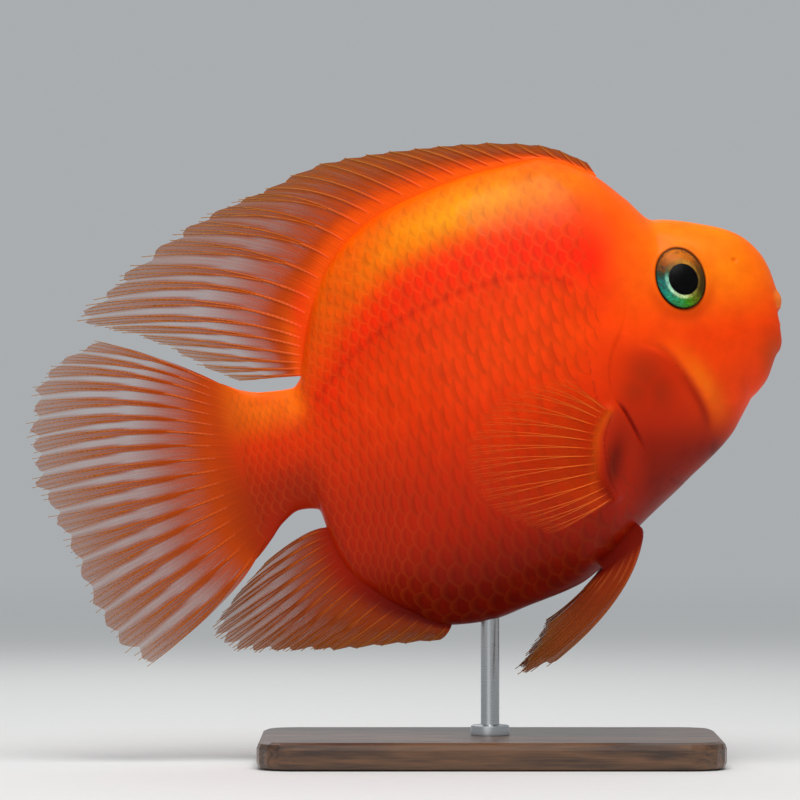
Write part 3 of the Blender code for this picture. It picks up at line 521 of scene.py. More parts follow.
def skinMaterial(name, scaly):
    # Fish skin over pigment cells: satin and wet, colour in soft blotches of 3 to 6 mm, pores of 0.4 mm
    made, tree, shader = newMaterial(name, {
        "IOR": 1.4, "Specular IOR Level": 0.10, "Coat Weight": 0.06, "Coat Roughness": 0.14,
        "Subsurface Weight": 0.12, "Subsurface Radius": (1.0, 0.25, 0.08), "Subsurface Scale": 1.6 * mm})
    where = addNode(tree, "ShaderNodeTexCoord").outputs["Object"]
    blotch, ripple, pores = [
        addNode(tree, "ShaderNodeTexNoise", {"Vector": where, "Scale": 1 / (size * mm), "Detail": detail,
                                             "Roughness": rough}).outputs["Fac"]
        for size, detail, rough in ((5, 3.0, 0.55), (2.6, 2.0, 0.5), (0.5, 2.0, 0.5))]
    wobble, tint, wet = [
        addNode(tree, "ShaderNodeMapRange", {"Value": value, "From Min": 0.5 - half, "From Max": 0.5 + half,
                                             "To Min": least, "To Max": most}).outputs[0]
        for value, half, least, most in ((blotch, 0.2, 0.86, 1.10), (blotch, 0.25, 0.90, 1.08),
                                         (ripple, 0.2, 0.38, 0.52))]
    colour = linear(skinLook["flank"])
    for key, hexCode, strength in skinLook["layers"]:
        mark = addNode(tree, "ShaderNodeAttribute", attribute_name=key)
        share = addNode(tree, "ShaderNodeMath", {0: mark.outputs["Fac"], 1: strength},
                        operation="MULTIPLY")
        share = addNode(tree, "ShaderNodeMath", {0: share.outputs[0], 1: wobble}, operation="MULTIPLY",
                        use_clamp=True)
        colour = addNode(tree, "ShaderNodeMix", {0: share.outputs[0], 6: colour, 7: linear(hexCode)},
                         data_type="RGBA").outputs[2]
    height = addNode(tree, "ShaderNodeMath", {0: ripple, 1: 1.6, 2: pores},
                     operation="MULTIPLY_ADD").outputs[0]
    if scaly:
        # Each scale is darker in the middle and paler along its free edge, yellow on the back
        rim, tone, back, growth = [addNode(tree, "ShaderNodeAttribute", attribute_name=key).outputs["Fac"]
                                   for key in ("rim", "tone", "backYellow", "growth")]
        pale, rimTone = [
            addNode(tree, "ShaderNodeMix", {0: share, 6: linear(first), 7: linear(second)},
                    data_type="RGBA").outputs[2]
            for share, first, second in ((rim, skinLook["scaleMiddle"], skinLook["scaleEdge"]),
                                         (back, skinLook["rimFlank"], skinLook["rimBack"]))]
        colour = addNode(tree, "ShaderNodeMix", {0: 1.0, 6: colour, 7: pale}, data_type="RGBA",
                         blend_type="MULTIPLY").outputs[2]
        lightened = addNode(tree, "ShaderNodeMath", {0: rim, 1: 0.18}, operation="MULTIPLY")
        colour = addNode(tree, "ShaderNodeMix", {0: lightened.outputs[0], 6: colour, 7: rimTone},
                         data_type="RGBA").outputs[2]
        colour = addNode(tree, "ShaderNodeHueSaturation", {"Value": tone, "Color": colour}).outputs[0]
        # Growth rings of a scale, drawn 0.3 mm apart, which is coarser than real, so that they show
        rings = addNode(tree, "ShaderNodeMath", {0: growth, 1: 60.0}, operation="MULTIPLY")
        wave = addNode(tree, "ShaderNodeMath", {0: rings.outputs[0]}, operation="SINE")
        height = addNode(tree, "ShaderNodeMath", {0: wave.outputs[0], 1: 0.18, 2: height},
                         operation="MULTIPLY_ADD").outputs[0]
    toned = addNode(tree, "ShaderNodeHueSaturation", {"Value": tint, "Color": colour})
    bump = addNode(tree, "ShaderNodeBump", {"Height": height, "Strength": 0.35, "Distance": 0.05 * mm})
    feed(tree, shader, {"Base Color": toned.outputs[0], "Normal": bump.outputs[0], "Roughness": wet})
    return made


wetSkin = skinMaterial("wetFishSkin", scaly=False)
scaleSkin = skinMaterial("cycloidScales", scaly=True)


# Skin: one closed surface from the lips to the fleshy foot of the tail fin

def makeStations():
    # Where the rings of the skin stand: closer on the head and wherever the outline turns
    fine = np.linspace(body["tailEnd"], body["snoutEnd"], 6000)
    outlines = [smoothLine(body[key], fine) for key in ("back", "belly", "halfWidth")]
    slope = np.max([np.abs(np.gradient(line, fine)) for line in outlines], axis=0)
    spacing = body["bodyStep"] + (body["fineStep"] - body["bodyStep"]) * ease(20.0, 27.0, fine)
    passed = np.concatenate(([0.0], np.cumsum((np.sqrt(1 + slope**2) / spacing)[:-1] * np.diff(fine))))
    return np.interp(np.linspace(0, passed[-1], int(passed[-1]) + 1), passed, fine)


stations = makeStations()
angles = turns(body["ringPoints"])


def buildSkin():
    s, a = np.meshgrid(stations, angles, indexing="ij")
    base = bodyPoint(s, a)
    # The snout is closed by rings that shrink to its middle
    endRing = base[-1]
    centre = endRing.mean(axis=0)
    caps = []
    for share in np.linspace(1.0, 0.0, 12)[1:-1]:
        ring = centre + (endRing - centre) * share
        ring[:, 0] = centre[0] + 0.35 * (1 - share**2)
        caps.append(ring)
    base = np.concatenate((base, np.array(caps)))
    count, ringPoints = base.shape[:2]
    alongS = np.gradient(base, axis=0)
    alongA = np.roll(base, -1, axis=1) - np.roll(base, 1, axis=1)
    normal = unit(np.cross(alongA, alongS))
    base = base.reshape(-1, 3)
    normal = normal.reshape(-1, 3)
    skin = base + normal * (relief(base, normal) - body["inset"])[:, None]
    points = np.vstack((skin, skin[:ringPoints].mean(axis=0), skin[-ringPoints:].mean(axis=0)))

    i, j = np.meshgrid(np.arange(count - 1), np.arange(ringPoints), indexing="ij")
    k = (j + 1) % ringPoints
    quads = np.stack((i * ringPoints + j, i * ringPoints + k, (i + 1) * ringPoints + k,
                      (i + 1) * ringPoints + j), axis=-1).reshape(-1, 4)
    tail, tip = len(skin), len(skin) + 1
    last = len(skin) - ringPoints
    around = list(zip(j[0].tolist(), k[0].tolist()))
    fans = [(tail, b, a) for a, b in around] + [(tip, last + a, last + b) for a, b in around]
    made = makeObject("skin", points, quads.tolist() + fans, [wetSkin], values=markings(points))
    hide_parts("head", "trunk", "tail_stem", "gill_cover_right", "gill_cover_left")
    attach(made, "root")
    print("skin:", len(points), "points")


buildSkin()


# Scales: thin plates in rows that run parallel to the lateral line, each lying back over the next

scales = {
    "rowsBelow": 16, "rowsAbove": 12,   # rows on each side, below and above the lateral line
    "lateralShare": 0.655,              # where that line runs, as a share of the way up from the belly
    "pitch": 2.75,                      # spacing along a row at mid body
    "pitchShare": [(-61.5, 0.56), (-50.0, 0.62), (-35.0, 0.76), (-15.0, 0.90), (0.0, 1.0), (20.0, 1.0),
                   (34.0, 0.74), (44.0, 0.55), (58.0, 0.50)],
    "front": -0.80, "rear": 0.62, "pointed": 0.80,   # ends of a scale, in spacings along the row
    "halfHeight": 0.86,                              # in rows
    # Toward the tail the rows follow these outlines, and end where the body inside them does
    "top": [(-66.0, 22.0), (-50.0, 20.5), (-41.0, 24.5), (-36.7, 28.0), (-33.0, 31.5), (-29.5, 35.2),
            (-26.3, 38.2), (-20.0, 42.2)],
    "bottom": [(-66.0, -32.0), (-50.0, -32.5), (-41.0, -34.6), (-38.4, -35.6), (-33.0, -38.0),
               (-29.5, -40.0), (-26.5, -41.8), (-20.0, -45.5)],
    "followFrom": -20.0,
    "columnsFrom": -58.5, "columnsTo": 60.0,
    "squareUp": 0.55, "squareDown": 0.75,   # how squarely columns cross the rows, above and below
    "sunk": 0.07, "raised": 0.05, "thick": 0.05,
    "across": 9, "along": 7,   # points of a scale
    "seed": 11, "jitter": (0.05, 0.03), "tilts": (0.75, 1.25), "tones": 0.035,   # how scales differ
    "faceRelief": 0.18,        # how much of the small scales on the face shows
    "within": 0.9995,          # a scale's corners stay inside this share of the body's reach
    "bakePatch": 0.003, "bakeFrom": -67.0, "bakeLength": 131.0,
}


def rowReach(s, up):
    # How much farther out than the body's own outline the rows are laid out, as a factor
    top, bottom, thickest = section(s)[:3]
    follows = s < scales["followFrom"]
    wideTop = np.where(follows, np.maximum(top, smoothLine(scales["top"], s)), top)
    wideBottom = np.where(follows, np.minimum(bottom, smoothLine(scales["bottom"], s)), bottom)
    return np.where(up, (wideTop - thickest) / (top - thickest),
                    (wideBottom - thickest) / (bottom - thickest))


def girthTable(steps=240):
    # Angle round the rows' own outline for each share of the way from belly to back, at every station
    turn = np.linspace(-math.pi / 2, math.pi / 2, 721)
    shares = np.linspace(0, 1, steps + 1)
    table = np.zeros((len(stations), steps + 1))
    for i, s in enumerate(stations):
        ring = bodyPoint(np.full(len(turn), s), turn)
        thickest = section(s)[2]
        ring[:, 2] = thickest + (ring[:, 2] - thickest) * rowReach(s, turn > 0)
        run = np.concatenate(([0.0], np.cumsum(np.linalg.norm(np.diff(ring, axis=0), axis=1))))
        table[i] = np.interp(shares, run / run[-1], turn)
    return table


girth = girthTable()


def tableAt(table, row, share):
    # Reads a table between its cells: at a row's number, and at a share of the way along the row
    i = np.clip(row, 0, table.shape[0] - 1.001)
    j = np.clip(share, 0, 1) * (table.shape[1] - 1.001)
    i0, j0 = i.astype(int), j.astype(int)
    fi, fj = i - i0, j - j0
    return ((1 - fi) * ((1 - fj) * table[i0, j0] + fj * table[i0, j0 + 1])
            + fi * ((1 - fj) * table[i0 + 1, j0] + fj * table[i0 + 1, j0 + 1]))


def girthSine(s, share):
    # Height on the body as a share of its own reach: past 1 or -1 a row has left the body
    turn = tableAt(girth, np.interp(s, stations, np.arange(len(stations))), share)
    return np.sin(turn) * rowReach(s, turn > 0)


def girthAngle(s, share):
    return np.arcsin(np.clip(girthSine(s, share), -1.0, 1.0))


def columnLines():
    # Columns of scales cross the rows squarely: s for each column and each share of the girth
    starts = [scales["columnsFrom"]]
    while starts[-1] < scales["columnsTo"]:
        spacing = scales["pitch"] * float(smoothLine(scales["pitchShare"], starts[-1]))
        starts.append(starts[-1] + 0.5 * spacing)
    starts = np.array(starts)
    steps = 60
    shares = np.linspace(0, 1, steps + 1)
    lines = np.zeros((len(starts), steps + 1))
    middle = int(0.60 * steps)
    lines[:, middle] = starts

    def drift(s, share):
        here = np.clip(s, body["tailEnd"] + 0.5, 65.0)
        alongRow = (bodyPoint(here + 0.2, girthAngle(here + 0.2, share))
                    - bodyPoint(here - 0.2, girthAngle(here - 0.2, share))) / 0.4
        alongGirth = (bodyPoint(here, girthAngle(here, share + 0.005))
                      - bodyPoint(here, girthAngle(here, share - 0.005))) / 0.01
        return -np.sum(alongRow * alongGirth, axis=-1) / np.sum(alongRow**2, axis=-1)

    # The turn of each column is evened out with its neighbours'
    spread = np.hanning(17)[1:-1]
    spread /= spread.sum()
    least = 0.5 * (starts - starts[0])
    for direction, stop, square in ((1, steps, scales["squareUp"]), (-1, 0, scales["squareDown"])):
        for k in range(middle, stop, direction):
            move = drift(lines[:, k], np.full(len(starts), np.clip(shares[k], 0.02, 0.98)))
            move = np.pad(np.clip(move, -40, 40), len(spread) // 2, mode="edge")
            moved = lines[:, k] + square * direction / steps * np.convolve(move, spread, "valid")
            # Columns never come closer to each other than half of their first spacing
            lines[:, k + direction] = np.maximum.accumulate(moved - least) + least
    return lines


columns = columnLines()
rowShares = np.concatenate((np.linspace(0, scales["lateralShare"], scales["rowsBelow"] + 1),
                            np.linspace(scales["lateralShare"], 1, scales["rowsAbove"] + 1)[1:]))


def latticePoint(column, row):
    # Where a place in the lattice of scales lies: s and share of the girth
    share = np.interp(row, np.arange(len(rowShares)), rowShares)
    return tableAt(columns, column, share), share


def scaleCover(s, n):
    # 1 on the body, low on the face where scales are small and sunk in, 0 where the skin is bare
    flat = np.stack((s, n), axis=-1)
    away, side = fromPath(flat, headCut)[::2]
    cover = 0.25 * ease(-1.0, 2.0, away * side) + 0.75 * ease(0.0, 11.0, away * side)
    fold = fromPath(flat, cheekFold)[0]
    edge = fromPath(flat, gillEdge)[0]
    bare = np.minimum(ease(0.5, 1.6, fold), ease(0.8, 2.2, edge)) * ease(1.0, 3.0, eyeRing(flat))
    face = ease(56.0, 49.0, s + 0.25 * np.abs(n - 8.0)) * ease(-24.0, -18.0, n) * bare
    cover = np.maximum(cover, scales["faceRelief"] * face)
    cover = np.minimum(cover, ease(1.6, 3.4, fromPath(flat, pectoralFoot)[0]))
    return np.minimum(cover, ease(-59.0, -53.5, s))


def plateShape():
    # One scale: shares across (b) and along (t), its shape in the lattice, its faces and its rim
    nA, nL = scales["across"], scales["along"]
    b, t = np.meshgrid(np.linspace(-1, 1, nA), np.linspace(0, 1, nL), indexing="ij")
    width = scales["halfHeight"] * (0.80 + 0.20 * ease(0.0, 0.5, t))
    rearEdge = scales["rear"] - scales["pointed"] * b**2
    front = scales["front"] - 0.25 * b**2
    du = front + (rearEdge - front) * t
    lift = -scales["sunk"] + (scales["raised"] + scales["sunk"]) * t**1.1 - 0.03 * b**2
    rim = np.maximum(ease(0.70, 0.97, t), 0.5 * ease(0.8, 1.0, np.abs(b)) * ease(0.4, 0.8, t))
    top = np.arange(nA * nL).reshape(nA, nL)
    under = top + nA * nL
    faces = []
    for i in range(nA - 1):
        for j in range(nL - 1):
            faces.append((top[i, j], top[i + 1, j], top[i + 1, j + 1], top[i, j + 1]))
            faces.append((under[i, j], under[i, j + 1], under[i + 1, j + 1], under[i + 1, j]))
    border = ([(i, 0) for i in range(nA)] + [(nA - 1, j) for j in range(1, nL)]
              + [(i, nL - 1) for i in range(nA - 2, -1, -1)] + [(0, j) for j in range(nL - 2, 0, -1)])
    for p, q in zip(border, border[1:] + border[:1]):
        faces.append((top[q], top[p], under[p], under[q]))
    return [part.ravel() for part in (b, t, du, b * width, lift, rim)], np.array(faces)


def buildScales():
    (b, t, du, dv, lift, rim), faces = plateShape()
    per = len(b)
    draw = np.random.default_rng(scales["seed"])
    rooted = [(column, row) for row in range(1, len(rowShares) - 1)
              for column in range(1 + row % 2, columns.shape[0] - 1, 2)]
    rootColumn, rootRow = np.array(rooted, float).T[:, :, None]
    total = len(rooted)
    s0, share0 = latticePoint(rootColumn[:, 0], rootRow[:, 0])
    n0 = bodyPoint(s0, girthAngle(s0, share0))[:, 2]
    # A scale with any corner past the edge of the body is left out
    cornerS, cornerShare = latticePoint(rootColumn - 2 * du, rootRow + dv)
    past = np.max(np.abs(girthSine(cornerS, cornerShare)), axis=1) > scales["within"]
    cover = np.where(past, 0.0, scaleCover(s0, n0))
    for sideName, side in (("Right", -1), ("Left", 1)):
        jitterU, jitterV = [draw.uniform(-most, most, total)[:, None] for most in scales["jitter"]]
        tilt = draw.uniform(*scales["tilts"], total)[:, None]
        tone = draw.normal(1.0, scales["tones"], total)
        for half, low, high in (("Upper", 0.5, 1.0), ("Lower", 0.0, 0.5)):
            picked = np.where((cover > 0.06) & (share0 >= low) & (share0 < high))[0]
            sunk = np.clip(cover[picked], 0, 1)[:, None]
            size = 0.70 + 0.30 * sunk
            # Columns are numbered from the tail, so the rear of a scale has the lower number
            column = rootColumn[picked] + jitterU[picked] - 2 * du * size
            row = rootRow[picked] + jitterV[picked] + dv * size
            s, share = latticePoint(column.ravel(), row.ravel())
            angle = girthAngle(s, share)
            base = bodyPoint(s, angle)
            normal = bodyNormal(s, angle)
            height = (lift * tilt[picked] * (0.45 + 0.55 * sunk) - 0.05 * (1 - sunk)).ravel()
            base[:, 1] *= side
            normal[:, 1] *= side
            upper = base + normal * (relief(base, normal) - body["inset"] + height)[:, None]
            lower = upper - normal * scales["thick"]
            plates = np.concatenate((upper.reshape(-1, per, 3), lower.reshape(-1, per, 3)), axis=1)
            points = plates.reshape(-1, 3)
            order = faces if side > 0 else faces[:, ::-1]
            first = 2 * per * np.arange(len(picked))
            allFaces = (order + first[:, None, None]).reshape(-1, 4)
            values = markings(points)
            # The net of pale edges is strongest on the back and toward the tail
            net = 0.45 + 0.55 * ease(14.0, 32.0, n0[picked]) + 0.35 * ease(-12.0, -30.0, s0[picked])
            net = np.minimum(net, 1.0)[:, None] * sunk
            values["rim"] = (net * np.tile(rim, 2)).ravel()
            values["tone"] = np.repeat(tone[picked], 2 * per)
            values["growth"] = np.tile(t, 2 * len(picked))
            made = makeObject(f"scales{sideName}{half}", points, allFaces.tolist(), [scaleSkin],
                              values=values, sharp=60)
            # Each scale's patch in the bake lies where it is rooted on the unrolled skin
            u = 0.02 + 0.95 * (s0[picked, None] - scales["bakeFrom"]) / scales["bakeLength"]
            v = 0.02 + 0.95 * (share0[picked, None] - low) * 2
            patch = scales["bakePatch"]
            uv = np.stack(((u + patch * (np.tile(t, 2) - 0.5)).ravel(),
                           (v + patch * 0.5 * np.tile(b, 2)).ravel()), axis=-1)
            layer = made.data.uv_layers.new(name="OFBake")
            corners = np.zeros(len(made.data.loops), np.int32)
            made.data.loops.foreach_get("vertex_index", corners)
            layer.data.foreach_set("uv", uv[corners].astype(np.float32).ravel())
            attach(made, "root")
            print("scales", sideName, half, len(picked), "plates,", 2 * len(allFaces), "triangles")


buildScales()


# Fins: a thin membrane between tapered rays. Each guide is where a ray starts, its middle and its tip

def sway(s):
    # How far a fin swings aside on its way to the tail
    return 2.6 * max(0.0, (-s - 30.0) / 60.0) ** 2


def upright(guides, lean):
    # Guides of a fin in the fish's middle plane, with the sway
    return [(start, (mid[0], lean * sway(mid[0]), mid[1]), (tip[0], lean * sway(tip[0]), tip[1]))
            for start, mid, tip in guides]


# Where each fin's rays leave the body, and in which direction

def edgeRoot(key, facing, s):
    rise = (smoothLine(body[key], s + 0.05) - smoothLine(body[key], s - 0.05)) / 0.1
    out = np.stack((-facing * rise, 0 * s, facing + 0 * s), axis=-1) / np.hypot(rise, 1.0)[..., None]
    return np.stack((s, 0 * s, smoothLine(body[key], s)), axis=-1), out


def backRoot(s, side):
    return edgeRoot("back", 1, s)


def bellyRoot(s, side):
    return edgeRoot("belly", -1, s)


def tailRoot(n, side):
    # Inside the tail the rays draw together, so they stay within its foot
    out = unit(np.stack((0 * n - 1.0, 0 * n, 0.05 * n), axis=-1))
    return np.stack((0 * n + body["footAt"], 0 * n, n), axis=-1), out


def flankRoot(s, n, side):
    across = (flank(s + 0.2, n) - flank(s - 0.2, n)) / 0.4
    up = (flank(s, n + 0.2) - flank(s, n - 0.2)) / 0.4
    out = unit(np.stack((-across, side + 0 * s, -up), axis=-1))
    return np.stack((s, side * flank(s, n), n), axis=-1), out


def pectoralRootAt(n, side):
    upward = [(high, ahead) for ahead, high in body["pectoralRoot"]]
    return flankRoot(smoothLine(upward, n), n, side)


def pelvicRootAt(s, side):
    bottom, thickest, half = section(s)[1:]
    n = thickest + (bottom - thickest) * np.sqrt(np.maximum(0.0, 1.0 - (body["pelvicOut"] / half) ** 2))
    return flankRoot(s, n, side)


fins = {
    # guides: start on the body, middle, tip. rays: (how many, from guide, to guide, spines?)
    # fleshTo: how far out the body's colour reaches, as a share of the fin, at its rear and its front.
    # web: half thickness at root, at a sixth, at the edge. clear: how dense the membrane is at a tenth,
    # at the middle and at the edge, for the first and the last ray. bundle: how dense it is beside a ray.
    # notch: how far the edge draws in between the first and the last rays. sunk: how deep the roots go.
    # stalk: how far the root of a paired fin stands out. branches: how far the parts of a ray spread
    "dorsal": {
        "nodes": ("dorsal_fin_spiny", "dorsal_fin_soft"), "rootAt": backRoot, "seed": 21,
        "rays": [(14, 0.20, 5.90, True), (13, 6.30, 14.80, False)],
        "notch": (0.06, 0.05), "guides": upright([
            (32.6, (31.8, 44.6), (31.1, 46.2)), (26.5, (24.6, 49.0), (22.6, 51.6)),
            (18.0, (14.2, 51.9), (10.2, 54.9)), (9.5, (3.9, 53.2), (-2.0, 56.5)),
            (1.0, (-6.0, 53.7), (-13.5, 57.5)), (-8.0, (-16.7, 53.3), (-25.5, 58.0)),
            (-17.2, (-27.8, 51.2), (-39.6, 54.5)), (-23.5, (-35.1, 48.2), (-51.7, 52.6)),
            (-28.9, (-41.6, 43.6), (-61.9, 49.4)), (-32.5, (-49.3, 39.4), (-72.1, 44.4)),
            (-34.9, (-54.4, 35.8), (-80.8, 39.5)), (-36.4, (-57.6, 31.3), (-86.3, 35.6)),
            (-37.3, (-54.3, 26.4), (-77.3, 31.9)), (-38.1, (-50.9, 21.2), (-68.5, 26.7)),
            (-38.6, (-48.0, 17.2), (-60.2, 20.0)), (-39.1, (-45.0, 14.4), (-53.0, 15.6))], 1),
        "rayRadius": (0.46, 0.08), "web": (0.40, 0.13, 0.06), "sunk": 2.2,
        "clear": ((1.0, 0.95, 0.80), (0.90, 0.15, 0.03)), "bundle": 0.72, "look": "warm",
        "fleshTo": (0.15, 0.42),
    },
    "caudal": {
        "nodes": ("caudal_fin",), "rootAt": tailRoot, "seed": 23, "rays": [(17, 0.16, 8.84, False)],
        "notch": (0.04, 0.04), "guides": upright([
            (14.8, (-68.0, 23.7), (-82.0, 30.7)), (11.6, (-72.8, 21.6), (-92.5, 27.2)),
            (8.2, (-75.9, 17.4), (-97.7, 21.2)), (4.6, (-77.1, 11.8), (-100.9, 13.5)),
            (0.9, (-78.5, 5.6), (-101.6, 6.1)), (-2.8, (-77.8, -1.6), (-100.3, -1.3)),
            (-6.9, (-77.4, -9.6), (-97.2, -11.4)), (-11.5, (-76.9, -17.6), (-95.3, -23.6)),
            (-16.4, (-74.0, -25.2), (-92.3, -33.5)), (-21.4, (-66.3, -31.2), (-86.4, -41.8))], -1),
        "rayRadius": (0.44, 0.06), "web": (0.46, 0.26, 0.05), "sunk": 3.0,
        "clear": ((1.0, 0.13, 0.03), (1.0, 0.38, 0.08)), "bundle": 0.78, "look": "warm",
    },
    "anal": {
        "nodes": ("anal_fin",), "rootAt": bellyRoot, "seed": 24,
        "rays": [(5, 0.20, 2.10, True), (10, 2.60, 7.80, False)],
        "notch": (0.10, 0.05), "guides": upright([
            (-18.3, (-20.0, -47.9), (-21.9, -48.6)), (-23.6, (-27.8, -45.8), (-32.5, -47.4)),
            (-28.3, (-36.9, -43.8), (-43.6, -46.2)), (-33.0, (-43.0, -41.0), (-51.7, -44.8)),
            (-36.5, (-49.1, -38.3), (-59.7, -43.5)), (-38.5, (-51.7, -35.0), (-66.0, -41.8)),
            (-39.4, (-53.0, -30.8), (-70.5, -38.1)), (-40.1, (-51.8, -25.6), (-66.0, -32.6)),
            (-40.5, (-47.0, -20.6), (-56.0, -25.0))], 2),
        "rayRadius": (0.46, 0.08), "web": (0.42, 0.15, 0.06), "sunk": 2.2,
        "clear": ((1.0, 0.95, 0.80), (1.0, 0.46, 0.16)), "bundle": 0.60, "look": "dusky",
    },
    "pectoral": {
        "nodes": ("pectoral_fin",), "rootAt": pectoralRootAt, "seed": 25,
        "rays": [(14, 0.14, 5.86, False)], "notch": (0.04, 0.04), "guides": [
            (-7.8, (20.0, 23.2, -2.6), (15.1, 25.0, 2.1)), (-9.8, (13.6, 25.2, -3.2), (3.5, 28.0, 1.0)),
            (-12.6, (7.6, 26.3, -7.4), (-5.3, 29.0, -4.2)),
            (-15.6, (5.6, 26.6, -12.4), (-9.4, 29.4, -10.8)),
            (-18.9, (5.6, 26.1, -19.0), (-8.4, 28.6, -18.6)),
            (-22.2, (9.8, 25.0, -25.0), (-2.1, 26.8, -25.7)),
            (-25.0, (13.9, 23.0, -28.6), (5.8, 24.5, -30.4))],
        "rayRadius": (0.20, 0.04), "web": (0.30, 0.09, 0.04), "sunk": 1.2, "stalk": 1.8,
        "clear": ((0.42, 0.12, 0.0), (0.42, 0.12, 0.0)), "bundle": 0.06, "look": "red",
        "branches": (0.16, 0.25, 0.125),
    },
    "pelvic": {
        "nodes": ("pelvic_fin",), "rootAt": pelvicRootAt, "seed": 26,
        "rays": [(1, 0.10, 0.10, True), (5, 0.65, 2.88, False)], "notch": (0.04, 0.06), "guides": [
            (25.4, (17.6, 9.0, -47.4), (-0.3, 11.5, -58.8)),
            (22.4, (12.4, 9.6, -48.6), (-8.2, 12.5, -59.3)),
            (19.0, (9.6, 9.4, -47.6), (-2.4, 12.0, -54.6)),
            (15.6, (8.6, 8.6, -46.4), (2.0, 10.4, -49.6))],
        "rayRadius": (0.50, 0.08), "web": (0.70, 0.22, 0.07), "sunk": 1.2, "stalk": 1.8,
        "clear": ((1.0, 0.90, 0.70), (1.0, 0.75, 0.40)), "bundle": 0.40, "look": "rusty",
    },
}
buried = 0.06      # a ray starts this share of its length inside the body
raySides = 6


def finPoint(fin, at, v, side):
    # A place in the fin: at counts its guides from the first, v runs from root (0) to tip (1)
    guides = fin["guides"]
    at = np.clip(at, 0, len(guides) - 1)

    def between(values):
        return smoothLine(list(enumerate(values)), at)

    root, out = fin["rootAt"](between([guide[0] for guide in guides]), side)
    middle, tip = [np.stack([between([guide[part][k] for guide in guides]) for k in range(3)], axis=-1)
                   for part in (1, 2)]
    stalk = fin.get("stalk", 0.0)
    if stalk:
        middle[..., 1] *= side
        tip[..., 1] *= side
    lifted = root + out * stalk
    bend = 2 * middle - (lifted + tip) / 2
    w = np.maximum(v, 0.0)[..., None]
    spread = (1 - w) ** 2 * lifted + 2 * w * (1 - w) * bend + w**2 * tip
    below = np.minimum(v, 0.0)[..., None] / buried
    return spread + out * below * (fin["sunk"] + stalk)


def tubes(paths, radii, sides):
    # Joined round rays along paths, each closed to a point at its tip
    points, faces = [], []
    base = 0
    turn = turns(sides)
    for path, radius in zip(paths, radii):
        ahead = unit(np.gradient(path, axis=0))
        across = unit(np.cross(ahead, (0.0, 1.0, 0.0)))
        other = np.cross(ahead, across)
        ring = path[:, None] + radius[:, None, None] * (np.cos(turn)[None, :, None] * across[:, None]
                                                        + np.sin(turn)[None, :, None] * other[:, None])
        count = len(path)
        points += [ring.reshape(-1, 3), path[-1:] + ahead[-1:] * radius[-1], path[:1]]
        for k in range(sides):
            m = (k + 1) % sides
            for i in range(count - 1):
                near, far = base + i * sides, base + (i + 1) * sides
                faces.append((near + k, near + m, far + m, far + k))
            end = base + (count - 1) * sides
            faces.append((end + k, end + m, base + count * sides))
            faces.append((base + m, base + k, base + count * sides + 1))
        base += count * sides + 2
    return np.vstack(points), faces


def finRays(fin, side, draw):
    # Every ray with its branches: stem, two halves, and four fine ends
    at = np.concatenate([np.linspace(a, b, count) for count, a, b, spiny in fin["rays"]])
    spines = np.concatenate([[spiny] * count for count, a, b, spiny in fin["rays"]])
    pitch = np.gradient(at) if len(at) > 1 else np.ones(1)
    at = at + draw.uniform(-0.06, 0.06, len(at)) * pitch
    length = 1.0 - draw.uniform(0.0, 0.035, len(at))
    thick, thin = fin["rayRadius"]
    parted, wide, split = fin.get("branches", (0.15, 0.24, 0.12))
    paths, radii, places = [], [], []

    def strand(ray, v0, v1, offset0, offset1, r0, r1, count):
        t = np.linspace(0, 1, count)
        v = v0 + (v1 - v0) * t
        place = at[ray] + (offset0 + (offset1 - offset0) * t) * pitch[ray]
        paths.append(finPoint(fin, place, v * np.where(v > 0, length[ray], 1.0), side))
        radii.append(r0 + (r1 - r0) * t)
        places.append(v)

    for ray in range(len(at)):
        if spines[ray]:
            strand(ray, -buried, 1.0, 0.0, 0.0, 0.9 * thick, thin, 22)
            continue
        fork = draw.uniform(0.24, 0.34)
        second = draw.uniform(0.56, 0.68)
        strand(ray, -buried, fork, 0.0, 0.0, thick, 0.66 * thick, 12)
        for half in (-1, 1):
            strand(ray, fork - 0.02, second, half * 0.03, half * parted, 0.48 * thick, 0.32 * thick, 12)
            for quarter in (-1, 1):
                reach = 1.0 - draw.uniform(0.0, 0.05)
                strand(ray, second - 0.02, reach, half * parted, half * wide + quarter * split,
                       0.26 * thick, thin, 14)
    points, faces = tubes(paths, radii, raySides)
    along = np.concatenate([np.concatenate((np.repeat(v, raySides), [v[-1], v[0]])) for v in places])
    return points, faces, along, at, pitch, length


